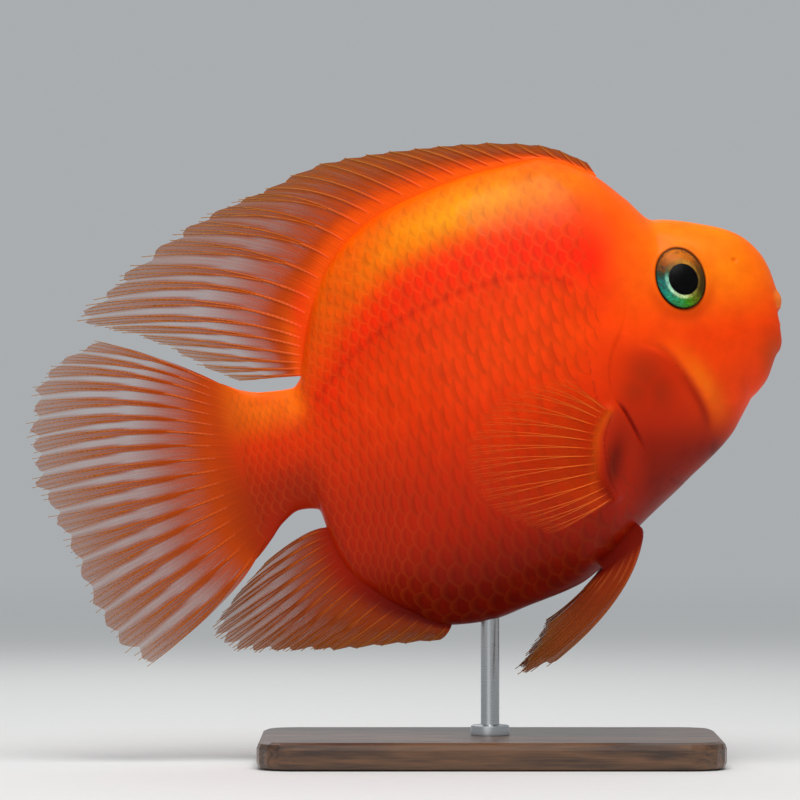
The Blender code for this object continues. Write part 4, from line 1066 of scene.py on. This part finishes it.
def finWeb(fin, side, at, pitch, length, draw):
    # The membrane as a closed thin sheet, scalloped and a little ragged between the ray tips
    last = len(fin["guides"]) - 1
    stops = np.concatenate(([0.0], at, [last]))
    place = np.concatenate([np.linspace(a, b, 9)[:-1] for a, b in zip(stops, stops[1:])] + [[last]])
    count, rows = len(place), 46
    nearest = np.argmin(np.abs(place[:, None] - at[None]), axis=1)
    phase = (place - at[nearest]) / pitch[nearest]
    through = place / last
    notch = fin["notch"][0] + (fin["notch"][1] - fin["notch"][0]) * through
    edge = np.interp(place, at, length) * (1 - notch * np.clip(2 * np.abs(phase), 0, 1) ** 1.3 - 0.02
                                           - draw.uniform(0.0, 0.012, count))
    v = -buried + (edge[:, None] + buried) * np.linspace(0, 1, rows)[None] ** 0.95
    grid = finPoint(fin, np.repeat(place[:, None], rows, axis=1), v, side)
    normal = unit(np.cross(np.gradient(grid, axis=0), np.gradient(grid, axis=1)))
    half = np.interp(np.maximum(v, 0), (0.0, 0.16, 1.0), fin["web"])
    billow = 0.10 * np.sin(math.pi * np.clip(np.abs(phase) * 2, 0, 1))[:, None] * ease(0.1, 0.5, v)
    grid = grid + normal * billow[..., None]
    upper = (grid + normal * half[..., None]).reshape(-1, 3)
    lower = (grid - normal * half[..., None]).reshape(-1, 3)
    index = np.arange(count * rows).reshape(count, rows)
    under = index + count * rows
    sheets = [(index[:-1, :-1], index[1:, :-1], index[1:, 1:], index[:-1, 1:]),
              (under[:-1, :-1], under[:-1, 1:], under[1:, 1:], under[1:, :-1]),
              (index[:-1, -1], index[1:, -1], under[1:, -1], under[:-1, -1]),
              (index[1:, 0], index[:-1, 0], under[:-1, 0], under[1:, 0]),
              (index[0, :-1], index[0, 1:], under[0, 1:], under[0, :-1]),
              (index[-1, 1:], index[-1, :-1], under[-1, :-1], under[-1, 1:])]
    faces = np.concatenate([np.stack(corners, axis=-1).reshape(-1, 4) for corners in sheets])
    dense = [np.interp(np.maximum(v, 0), (0.10, 0.50, 1.0), levels) for levels in fin["clear"]]
    cover = dense[0] + (dense[1] - dense[0]) * ease(0.25, 0.75, through)[:, None]
    # Skin is thicker inside a ray's own bundle of branches than between two rays
    reach = 0.10 + 0.30 * ease(0.2, 0.9, v)
    bundle = ease(1.15, 0.85, np.clip(np.abs(phase), 0, 0.6)[:, None] / reach)
    held = fin["bundle"] * ease(0.05, 0.3, v) * (1 - 0.62 * ease(0.35, 1.0, v))
    veil = np.clip(cover + (1 - cover) * held * bundle, 0, 1)
    across = np.repeat(phase[:, None], rows, axis=1)
    return np.vstack((upper, lower)), faces, *[np.tile(part.ravel(), 2) for part in (v, across, veil)]


finLook = {
    # Fin membrane: thin skin, stained near the body and clearing outward. Rays: horny, tan to beige.
    # solid: up to where the membrane hides what is behind it, and where that ends. fade: rays at tips
    "warm": {"web": ("#d04402", "#b04404", "#9c520c"), "ray": ("#d84a02", "#c0580c", "#a8702a"),
             "solid": (0.12, 0.40), "fade": 1.0},
    "dusky": {"web": ("#a83002", "#9a3a02", "#904a0a"), "ray": ("#c44402", "#b4540c", "#a87026"),
              "solid": (0.04, 0.26), "fade": 1.0},
    "rusty": {"web": ("#9c2602", "#98340a", "#86481a"), "ray": ("#b23404", "#a84c14", "#9c6a34"),
              "solid": (0.04, 0.30), "fade": 1.0},
    "red": {"web": ("#d43c02", "#dc4404", "#e04c0a"), "ray": ("#e05c10", "#ee6c1c", "#ee6a18"),
            "solid": (0.02, 0.14), "fade": 0.12},
}


def finColour(tree, colours, middle):
    # Colour from root to tip, which starts as the body's colour, painted shade included, where the fin
    # grows out of it
    along, out = [addNode(tree, "ShaderNodeAttribute", attribute_name=name).outputs["Fac"]
                  for name in ("along", "clearOfFlesh")]
    fleshy = addNode(tree, "ShaderNodeAttribute", attribute_name="fleshTint").outputs["Color"]
    stops = list(zip((0.02, middle, 1.0), colours))
    own = addNode(tree, "ShaderNodeValToRGB", {"Fac": along}, stops=stops)
    tint = addNode(tree, "ShaderNodeMix", {0: out, 6: fleshy, 7: own.outputs[0]}, data_type="RGBA")
    return along, tint.outputs[2]


def finMaterials(key):
    look = finLook[key]
    made, tree, shader = newMaterial(f"finMembrane{key.title()}", {
        "Roughness": 0.42, "Specular IOR Level": 0.12, "IOR": 1.4})
    along, tint = finColour(tree, look["web"], 0.40)
    across, veil = [addNode(tree, "ShaderNodeAttribute", attribute_name=name).outputs["Fac"]
                    for name in ("across", "veil")]
    # Fine fibres along the rays, about 0.3 mm apart
    streak = addNode(tree, "ShaderNodeCombineXYZ", {0: across, 1: along})
    stretched = addNode(tree, "ShaderNodeVectorMath", {0: streak.outputs[0], 1: (16.0, 2.5, 1.0)},
                        operation="MULTIPLY")
    fibres = addNode(tree, "ShaderNodeTexNoise", {"Vector": stretched.outputs[0], "Scale": 1.0,
                                                  "Detail": 3.0}).outputs["Fac"]
    light, uneven = [
        addNode(tree, "ShaderNodeMapRange", {"Value": fibres, "From Min": low, "From Max": high,
                                             "To Min": least, "To Max": most}).outputs[0]
        for low, high, least, most in ((0.3, 0.7, 0.72, 1.22), (0.35, 0.65, 0.70, 1.20))]
    toned = addNode(tree, "ShaderNodeHueSaturation", {"Value": light, "Color": tint})
    alpha = addNode(tree, "ShaderNodeMath", {0: veil, 1: uneven}, operation="MULTIPLY", use_clamp=True)
    solid = addNode(tree, "ShaderNodeMapRange", {"Value": along, "From Min": look["solid"][1],
                                                 "From Max": look["solid"][0]},
                    interpolation_type="SMOOTHSTEP")
    full = addNode(tree, "ShaderNodeMath", {0: alpha.outputs[0], 1: solid.outputs[0]},
                   operation="MAXIMUM")
    bump = addNode(tree, "ShaderNodeBump", {"Height": fibres, "Strength": 0.4, "Distance": 0.06 * mm})
    feed(tree, shader, {"Base Color": toned.outputs[0], "Alpha": full.outputs[0],
                        "Normal": bump.outputs[0]})

    bone, tree, shader = newMaterial(f"finRay{key.title()}", {
        "Roughness": 0.40, "Specular IOR Level": 0.2, "IOR": 1.45})
    along, tint = finColour(tree, look["ray"], 0.42)
    if look["fade"] < 1:
        there = addNode(tree, "ShaderNodeMapRange", {"Value": along, "From Min": 0.25, "From Max": 1.0,
                                                     "To Min": 1.0, "To Max": look["fade"]})
        feed(tree, shader, {"Alpha": there.outputs[0]})
    # Joints of a soft ray, drawn about 0.8 mm apart, coarser than real so that they show
    jointed = addNode(tree, "ShaderNodeMath", {0: along, 1: 260.0}, operation="MULTIPLY")
    wave = addNode(tree, "ShaderNodeMath", {0: jointed.outputs[0]}, operation="SINE").outputs[0]
    light = addNode(tree, "ShaderNodeMapRange", {"Value": wave, "From Min": -1.0, "From Max": 1.0,
                                                 "To Min": 0.86, "To Max": 1.06})
    toned = addNode(tree, "ShaderNodeHueSaturation", {"Value": light.outputs[0], "Color": tint})
    bump = addNode(tree, "ShaderNodeBump", {"Height": wave, "Strength": 0.3, "Distance": 0.04 * mm})
    feed(tree, shader, {"Base Color": toned.outputs[0], "Normal": bump.outputs[0]})
    return made, bone


finFinishes = {key: finMaterials(key) for key in finLook}


def buildFins():
    for key, fin in fins.items():
        paired = "stalk" in fin
        for sideName, side in ((("Right", -1), ("Left", 1)) if paired else (("", 1),)):
            draw = np.random.default_rng(fin["seed"])
            rayPoints, rayFaces, rayAlong, at, pitch, length = finRays(fin, side, draw)
            webPoints, webFaces, webAlong, across, veil = finWeb(fin, side, at, pitch, length, draw)
            faces = webFaces.tolist() + [tuple(i + len(webPoints) for i in face) for face in rayFaces]
            slots = [0] * len(webFaces) + [1] * len(rayFaces)
            values = {"along": np.concatenate((webAlong, rayAlong)),
                      "across": np.concatenate((across, 0 * rayAlong)),
                      "veil": np.concatenate((veil, 1 + 0 * rayAlong))}
            points = np.vstack((webPoints, rayPoints))
            values["fleshTint"] = pigment(points)
            tintEnd = np.interp(points[:, 0], (-32.0, -6.0), fin.get("fleshTo", (0.22, 0.22)))
            values["clearOfFlesh"] = ease(0.03, tintEnd, values["along"])
            made = makeObject(f"{key}Fin{sideName}", points, faces, finFinishes[fin["look"]],
                              faceSlots=slots, values=values, sharp=60)
            suffix = f"_{sideName.lower()}" if paired else ""
            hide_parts(*[node + suffix for node in fin["nodes"]])
            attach(made, "root")
            print("fin", key, sideName, len(faces), "faces")


buildFins()


# Eyes: a dark ball with a domed lens and a coloured iris, under a clear cornea

eyes = {
    # Places out along the eye's axis, and half sizes forward and up
    "pupilAt": (0.44, -0.52), "pupilHalf": (3.22, 3.62), "irisHalf": (5.36, 6.90),
    "lensOut": 3.10, "irisOut": 2.80, "limbusOut": 2.25,
    "ballBack": -2.2, "domeBack": 0.5, "domeFrom": 1.7, "domeOut": 4.137, "domeHalf": (5.62, 7.15),
    # Colours round the iris, on its outer and its inner part. On the inner part, the pale mint and
    # yellow-green low behind the pupil and under it are painted glints
    "outerStops": [(0.00, "#156a66"), (0.07, "#158a78"), (0.16, "#2ca070"), (0.25, "#3c9418"),
                   (0.32, "#6f7a12"), (0.38, "#40340a"), (0.50, "#4a3408"), (0.60, "#7a440a"),
                   (0.68, "#cc6a08"), (0.78, "#d87208"), (0.87, "#8a4406"), (0.94, "#233c28"),
                   (1.00, "#156a66")],
    "innerStopsWithGlints": [(0.00, "#84ccb0"), (0.10, "#bcecc4"), (0.22, "#c8e098"), (0.30, "#a0a040"),
                   (0.38, "#5c4a14"), (0.52, "#6e4e14"), (0.62, "#9a6a20"), (0.70, "#cc8c30"),
                   (0.80, "#a86a20"), (0.91, "#36583e"), (1.00, "#84ccb0")],
    "vein": "#3a1c08", "rim": "#1d0803",
}


def eyeMaterials():
    # Iris: guanine crystals under clear tissue, coloured from teal round to gold, in a shader that is not
    # metallic
    iris, tree, shader = newMaterial("irisGuanine", {"Roughness": 0.50, "Specular IOR Level": 0.08})
    spot = addNode(tree, "ShaderNodeAttribute", attribute_name="eyePlace").outputs["Vector"]
    ring = addNode(tree, "ShaderNodeAttribute", attribute_name="ring").outputs["Fac"]
    crackle, veins, flecks = [
        addNode(tree, "ShaderNodeTexNoise", {"Vector": spot, "Scale": 1 / size, "Detail": detail,
                                             "Distortion": twist}).outputs["Fac"]
        for size, detail, twist in ((0.9, 4.0, 0.0), (0.55, 2.0, 1.2), (0.35, 3.0, 0.0))]
    inner, vein, dark, light = [
        addNode(tree, "ShaderNodeMapRange", {"Value": value, "From Min": low, "From Max": high,
                                             "To Min": least, "To Max": most}).outputs[0]
        for value, low, high, least, most in (
            (ring, 1.36, 1.20, 0.0, 1.0), (veins, 0.52, 0.60, 0.0, 0.55),
            (ring, 1.86, 1.98, 0.0, 1.0), (flecks, 0.3, 0.7, 0.65, 1.35))]
    turn = addNode(tree, "ShaderNodeTexGradient", {"Vector": spot}, gradient_type="RADIAL")
    turned = addNode(tree, "ShaderNodeMath", {0: crackle, 1: 0.10, 2: turn.outputs["Fac"]},
                     operation="MULTIPLY_ADD")
    shifted = addNode(tree, "ShaderNodeMath", {0: turned.outputs[0], 1: 0.05}, operation="SUBTRACT")
    colour, narrow = [addNode(tree, "ShaderNodeValToRGB", {"Fac": shifted.outputs[0]},
                              stops=eyes[key]).outputs[0] for key in ("outerStops", "innerStopsWithGlints")]
    # Over the outer colours come those of the inner part with its painted glints, dark veins, and a thin
    # dark rim
    for share, over in ((inner, narrow), (vein, linear(eyes["vein"])), (dark, linear(eyes["rim"]))):
        colour = addNode(tree, "ShaderNodeMix", {0: share, 6: colour, 7: over},
                         data_type="RGBA").outputs[2]
    toned = addNode(tree, "ShaderNodeHueSaturation", {"Value": light, "Color": colour})
    bump = addNode(tree, "ShaderNodeBump", {"Height": flecks, "Strength": 0.5, "Distance": 0.08 * mm})
    feed(tree, shader, {"Base Color": toned.outputs[0], "Normal": bump.outputs[0]})

    # Lens: black, seen through the pupil
    lens, tree, shader = newMaterial("pupilBlack", {"Roughness": 0.25, "Specular IOR Level": 0.05})
    spot = addNode(tree, "ShaderNodeAttribute", attribute_name="eyePlace").outputs["Vector"]
    faint = addNode(tree, "ShaderNodeTexNoise", {"Vector": spot, "Scale": 0.5})
    depth = addNode(tree, "ShaderNodeMix", {0: faint.outputs["Fac"], 6: linear("#020202"),
                                            7: linear("#060507")}, data_type="RGBA")
    feed(tree, shader, {"Base Color": depth.outputs[2]})

    # Cornea: clear wet tissue that only mirrors the lamps
    cornea, tree, shader = newMaterial("clearCornea")
    tree.nodes.remove(shader)
    clear = addNode(tree, "ShaderNodeBsdfTransparent")
    gloss = addNode(tree, "ShaderNodeBsdfGlossy", {"Roughness": 0.03})
    angle = addNode(tree, "ShaderNodeFresnel", {"IOR": 1.10})
    mixed = addNode(tree, "ShaderNodeMixShader", {0: angle.outputs[0], 1: clear.outputs[0],
                                                  2: gloss.outputs[0]})
    feed(tree, tree.nodes["Material Output"], {"Surface": mixed.outputs[0]})
    return iris, lens, cornea


irisGuanine, pupilBlack, clearCornea = eyeMaterials()


def eyeRings():
    # From the middle of the lens outward and back: ring number, half sizes, how far the ring's
    # middle is the pupil's, height out. Numbers up to 1 are lens, up to 2 iris, and more behind it
    rings = []
    for t in np.linspace(0.06, 1.0, 9):
        rings.append((t, eyes["pupilHalf"][0] * t, eyes["pupilHalf"][1] * t, 1.0,
                      eyes["lensOut"] - 0.35 * t**2))
    for t in np.linspace(0.0, 1.0, 14):
        sizeS, sizeUp = [p + (q - p) * t for p, q in zip(eyes["pupilHalf"], eyes["irisHalf"])]
        fold = 0.14 * math.sin(math.pi * min(t * 1.6, 1.0))
        rings.append((1.02 + 0.98 * t, sizeS + 0.02, sizeUp + 0.02, 1.0 - t,
                      eyes["irisOut"] - 0.10 + fold + (eyes["limbusOut"] - eyes["irisOut"]) * t))
    for t in np.linspace(0.0, 1.0, 8)[1:]:
        # Behind the iris the ball goes straight in, then closes
        shrink = math.sqrt(1 - 0.75 * t**2)
        rings.append((2.1 + t, eyes["irisHalf"][0] * shrink, eyes["irisHalf"][1] * shrink, 0.0,
                      eyes["limbusOut"] * (1 - t) - 2.0 * t))
    return rings


def buildEyes():
    eyeS, eyeN = head["eyeAt"]
    slope = float(flank(eyeS, eyeN - 2.0) - flank(eyeS, eyeN + 2.0)) / 4.0
    tilt, yaw = math.atan(slope), math.radians(head["eyeYaw"])
    around = 72
    turn = turns(around)
    cx, cy = eyes["pupilAt"]
    rings = eyeRings()
    for sideName, side in (("Right", -1), ("Left", 1)):
        axis = np.array((math.sin(yaw), side * math.cos(yaw) * math.cos(tilt),
                         math.cos(yaw) * math.sin(tilt)))
        upward = np.array((0.0, -side * math.sin(tilt), math.cos(tilt)))
        forward = np.cross(upward, axis) * -side
        centre = np.array((eyeS, side * float(flank(eyeS, eyeN)), eyeN)) - axis * head["eyeDepth"]

        def at(x, y, z):
            return (centre + np.multiply.outer(x, forward) + np.multiply.outer(y, upward)
                    + np.multiply.outer(z, axis))

        profile, places = [], [np.zeros(3)]
        for number, sizeS, sizeUp, share, out in rings:
            x, y = sizeS * np.cos(turn), sizeUp * np.sin(turn)
            profile.append(at(x + cx * share, y + cy * share, np.full(around, out)))
            places.append(np.stack((x, y, 0 * x + out), axis=-1))
        points, faces = lathe(at(cx, cy, eyes["lensOut"]), profile, at(0.0, 0.0, eyes["ballBack"]),
                              side > 0)
        numbers = np.concatenate(([0.0], np.repeat([ring[0] for ring in rings], around), [3.2]))
        isLens = [1] + [int(ring[0] <= 1.0) for ring in rings[1:]] + [0]
        ball = makeObject(f"eyeball{sideName}", points, faces, [irisGuanine, pupilBlack],
                          faceSlots=np.repeat(isLens, around),
                          values={"eyePlace": np.vstack((*places, np.zeros(3))), "ring": numbers})
        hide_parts(f"eye_{sideName.lower()}")
        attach(ball, "root")

        # Cornea: a clear dome over the iris, closed behind
        back, low, high = eyes["domeBack"], eyes["domeFrom"], eyes["domeOut"]
        domeS, domeUp = eyes["domeHalf"]
        profile = []
        for level in np.linspace(0.10, math.pi - 0.10, 40):
            size, up = math.sin(level), math.cos(level)
            out = low + up * (high - low if up > 0 else low - back)
            profile.append(at(domeS * size * np.cos(turn), domeUp * size * np.sin(turn),
                              np.full(around, out)))
        points, faces = lathe(at(0.0, 0.0, high), profile, at(0.0, 0.0, back), side > 0)
        clear = makeObject(f"cornea{sideName}", points, faces, [clearCornea])
        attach(clear, "root")
    print("eyes done")


buildEyes()


# Stand: a varnished walnut base and a brushed steel rod

stand = {"walnutDark": "#3a2415", "walnutLight": "#6f4a2c", "steelDark": "#b4b6b8",
         "steelLight": "#c4c6c7", "baseTop": 6.0, "rodFrom": 4.5, "rodTop": 39.0, "rodRadius": 2.0,
         "collarRadius": 4.2, "collarHeight": 2.2}


def walnut():
    # Walnut, planed and satin varnished: straight grain along the base, 0.6 to 2 mm apart, fine pores
    made, tree, shader = newMaterial("satinWalnut", {"Coat Weight": 0.35, "Coat Roughness": 0.22})
    where = addNode(tree, "ShaderNodeTexCoord").outputs["Object"]
    long, longer = [addNode(tree, "ShaderNodeMapping", {"Vector": where, "Scale": (drawn, 1.0, 1.0)})
                    for drawn in (0.10, 0.06)]
    figure, fine = [
        addNode(tree, "ShaderNodeTexNoise", {"Vector": drawn.outputs[0], "Scale": 1 / (size * mm),
                                             "Detail": detail, "Distortion": twist}).outputs["Fac"]
        for drawn, size, detail, twist in ((long, 9, 4.0, 0.6), (longer, 0.5, 3.0, 0.0))]
    bands = addNode(tree, "ShaderNodeMath", {0: figure, 1: 34.0}, operation="MULTIPLY")
    wave = addNode(tree, "ShaderNodeMath", {0: bands.outputs[0]}, operation="SINE")
    both = addNode(tree, "ShaderNodeMath", {0: wave.outputs[0], 1: 0.22, 2: fine},
                   operation="MULTIPLY_ADD").outputs[0]
    share, rough = [
        addNode(tree, "ShaderNodeMapRange", {"Value": value, "From Min": low, "From Max": high,
                                             "To Min": least, "To Max": most}).outputs[0]
        for value, low, high, least, most in ((both, 0.2, 0.8, 0.0, 1.0), (fine, 0.3, 0.7, 0.46, 0.34))]
    colour = addNode(tree, "ShaderNodeMix", {0: share, 6: linear(stand["walnutDark"]),
                                             7: linear(stand["walnutLight"])}, data_type="RGBA")
    bump = addNode(tree, "ShaderNodeBump", {"Height": fine, "Strength": 0.25, "Distance": 0.05 * mm})
    feed(tree, shader, {"Base Color": colour.outputs[2], "Roughness": rough, "Normal": bump.outputs[0]})
    return made


def brushedSteel():
    # Stainless steel, turned and brushed round: fine rings 0.15 mm apart break up the shine
    made, tree, shader = newMaterial("brushedSteel", {"Metallic": 1.0})
    where = addNode(tree, "ShaderNodeTexCoord").outputs["Object"]
    drawn = addNode(tree, "ShaderNodeMapping", {"Vector": where, "Scale": (0.02, 0.02, 1.0)})
    lines = addNode(tree, "ShaderNodeTexNoise", {"Vector": drawn.outputs[0], "Scale": 1 / (0.3 * mm),
                                                 "Detail": 2.0}).outputs["Fac"]
    colour = addNode(tree, "ShaderNodeMix", {0: lines, 6: linear(stand["steelDark"]),
                                             7: linear(stand["steelLight"])}, data_type="RGBA")
    rough = addNode(tree, "ShaderNodeMapRange", {"Value": lines, "From Min": 0.3, "From Max": 0.7,
                                                 "To Min": 0.26, "To Max": 0.34})
    bump = addNode(tree, "ShaderNodeBump", {"Height": lines, "Strength": 0.06, "Distance": 0.01 * mm})
    feed(tree, shader, {"Base Color": colour.outputs[2], "Roughness": rough.outputs[0],
                        "Normal": bump.outputs[0]})
    return made


def buildStand():
    finish = walnut()
    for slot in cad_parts["stand_base"].material_slots:
        slot.material = finish
    # The rod runs from inside the base to inside the belly, with a turned collar at its foot
    rod, collar, foot = stand["rodRadius"], stand["collarRadius"], stand["baseTop"]
    top = foot + stand["collarHeight"]
    profile = [(collar - 0.3, stand["rodFrom"]), (collar - 0.3, foot - 0.1), (collar - 0.3, foot),
               (collar, foot + 0.05), (collar, top - 0.5), (collar - 0.15, top - 0.15),
               (collar - 0.5, top), (rod + 0.35, top), (rod + 0.1, top + 0.1), (rod, top + 0.4),
               (rod, stand["rodTop"])]
    turn = turns(64)
    rings = [np.stack((radius * np.cos(turn), radius * np.sin(turn), 0 * turn + height), axis=-1)
             for radius, height in profile]
    points, faces = lathe((0.0, 0.0, stand["rodFrom"]), rings, (0.0, 0.0, stand["rodTop"]), True)
    made = makeObject("standRod", points, faces, [brushedSteel()], place=Matrix.Identity(4), sharp=35)
    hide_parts("stand_rod")
    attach(made, "root")
    print("stand done")


buildStand()


# Floor, light and camera

stage = {
    # The sheet's radius is in millimetres; it fades out over a stretch given in metres
    "paper": ("#e2e2e0", "#e8e8e6"), "floorRadius": 1600.0, "fadeFrom": 0.35, "fadeTo": 1.30,
    "world": "#e8ecf0", "worldStrength": 0.50,
    # Power, size, place and target of each lamp, in watts and metres
    "lamps": {"keyLight": (2.3, 0.40, (0.02, -0.20, 0.56), (0.0, 0.0, 0.09)),
              "fillLight": (0.6, 0.70, (-0.25, -0.75, 0.38), (0.0, 0.0, 0.08)),
              "backLight": (0.4, 0.40, (-0.12, 0.36, 0.36), (-0.02, 0.0, 0.09))},
    "cameraAt": (-0.0195, -1.2028, 0.0785), "lens": 250.0,
}


def buildFloor():
    # Matt paper, a round sheet that clears with distance into the pale studio behind it
    paper, tree, shader = newMaterial("mattPaper", {"Roughness": 0.85})
    where = addNode(tree, "ShaderNodeTexCoord").outputs["Object"]
    tooth = addNode(tree, "ShaderNodeTexNoise", {"Vector": where, "Scale": 1 / (4 * mm), "Detail": 3.0})
    colour = addNode(tree, "ShaderNodeMix", {0: tooth.outputs["Fac"], 6: linear(stage["paper"][0]),
                                             7: linear(stage["paper"][1])}, data_type="RGBA")
    away = addNode(tree, "ShaderNodeVectorMath", {0: where}, operation="LENGTH").outputs["Value"]
    there = addNode(tree, "ShaderNodeMapRange", {"Value": away, "From Min": stage["fadeFrom"],
                                                 "From Max": stage["fadeTo"], "To Min": 1.0,
                                                 "To Max": 0.0}, interpolation_type="SMOOTHSTEP")
    feed(tree, shader, {"Base Color": colour.outputs[2], "Alpha": there.outputs[0]})
    turn = turns(96)
    points = stage["floorRadius"] * np.stack((np.cos(turn), np.sin(turn), 0 * turn), axis=-1)
    floor = makeObject("floor", points, [tuple(range(len(turn)))], [paper], place=Matrix.Identity(4))


def buildStudio():
    world = bpy.data.worlds.new("studio")
    bpy.context.scene.world = world
    world.use_nodes = True
    backdrop = world.node_tree.nodes["Background"]
    backdrop.inputs["Color"].default_value = linear(stage["world"])
    backdrop.inputs["Strength"].default_value = stage["worldStrength"]

    for name, (power, size, place, target) in stage["lamps"].items():
        lamp = bpy.data.lights.new(name, "AREA")
        lamp.energy = power
        lamp.size = size
        lamp.shape = "DISK"
        holder = bpy.data.objects.new(name, lamp)
        bpy.context.scene.collection.objects.link(holder)
        ahead = unit(np.array(target) - np.array(place))
        across = unit(np.cross(ahead, (0, 0, 1.0)))
        turned = np.eye(4)
        turned[:3] = np.stack((across, np.cross(across, ahead), -ahead, place), axis=-1)
        holder.matrix_world = Matrix(turned.tolist())

    camera = bpy.data.cameras.new("camera")
    camera.lens = stage["lens"]
    camera.sensor_width = 36.0
    camera.clip_start = 0.01
    view = bpy.data.objects.new("camera", camera)
    bpy.context.scene.collection.objects.link(view)
    view.location = stage["cameraAt"]
    view.rotation_euler = (math.pi / 2, 0.0, 0.0)
    bpy.context.scene.camera = view
    bpy.context.scene.view_settings.view_transform = "Standard"
    print("stage done")


buildFloor()
buildStudio()

bpy.context.view_layer.update()
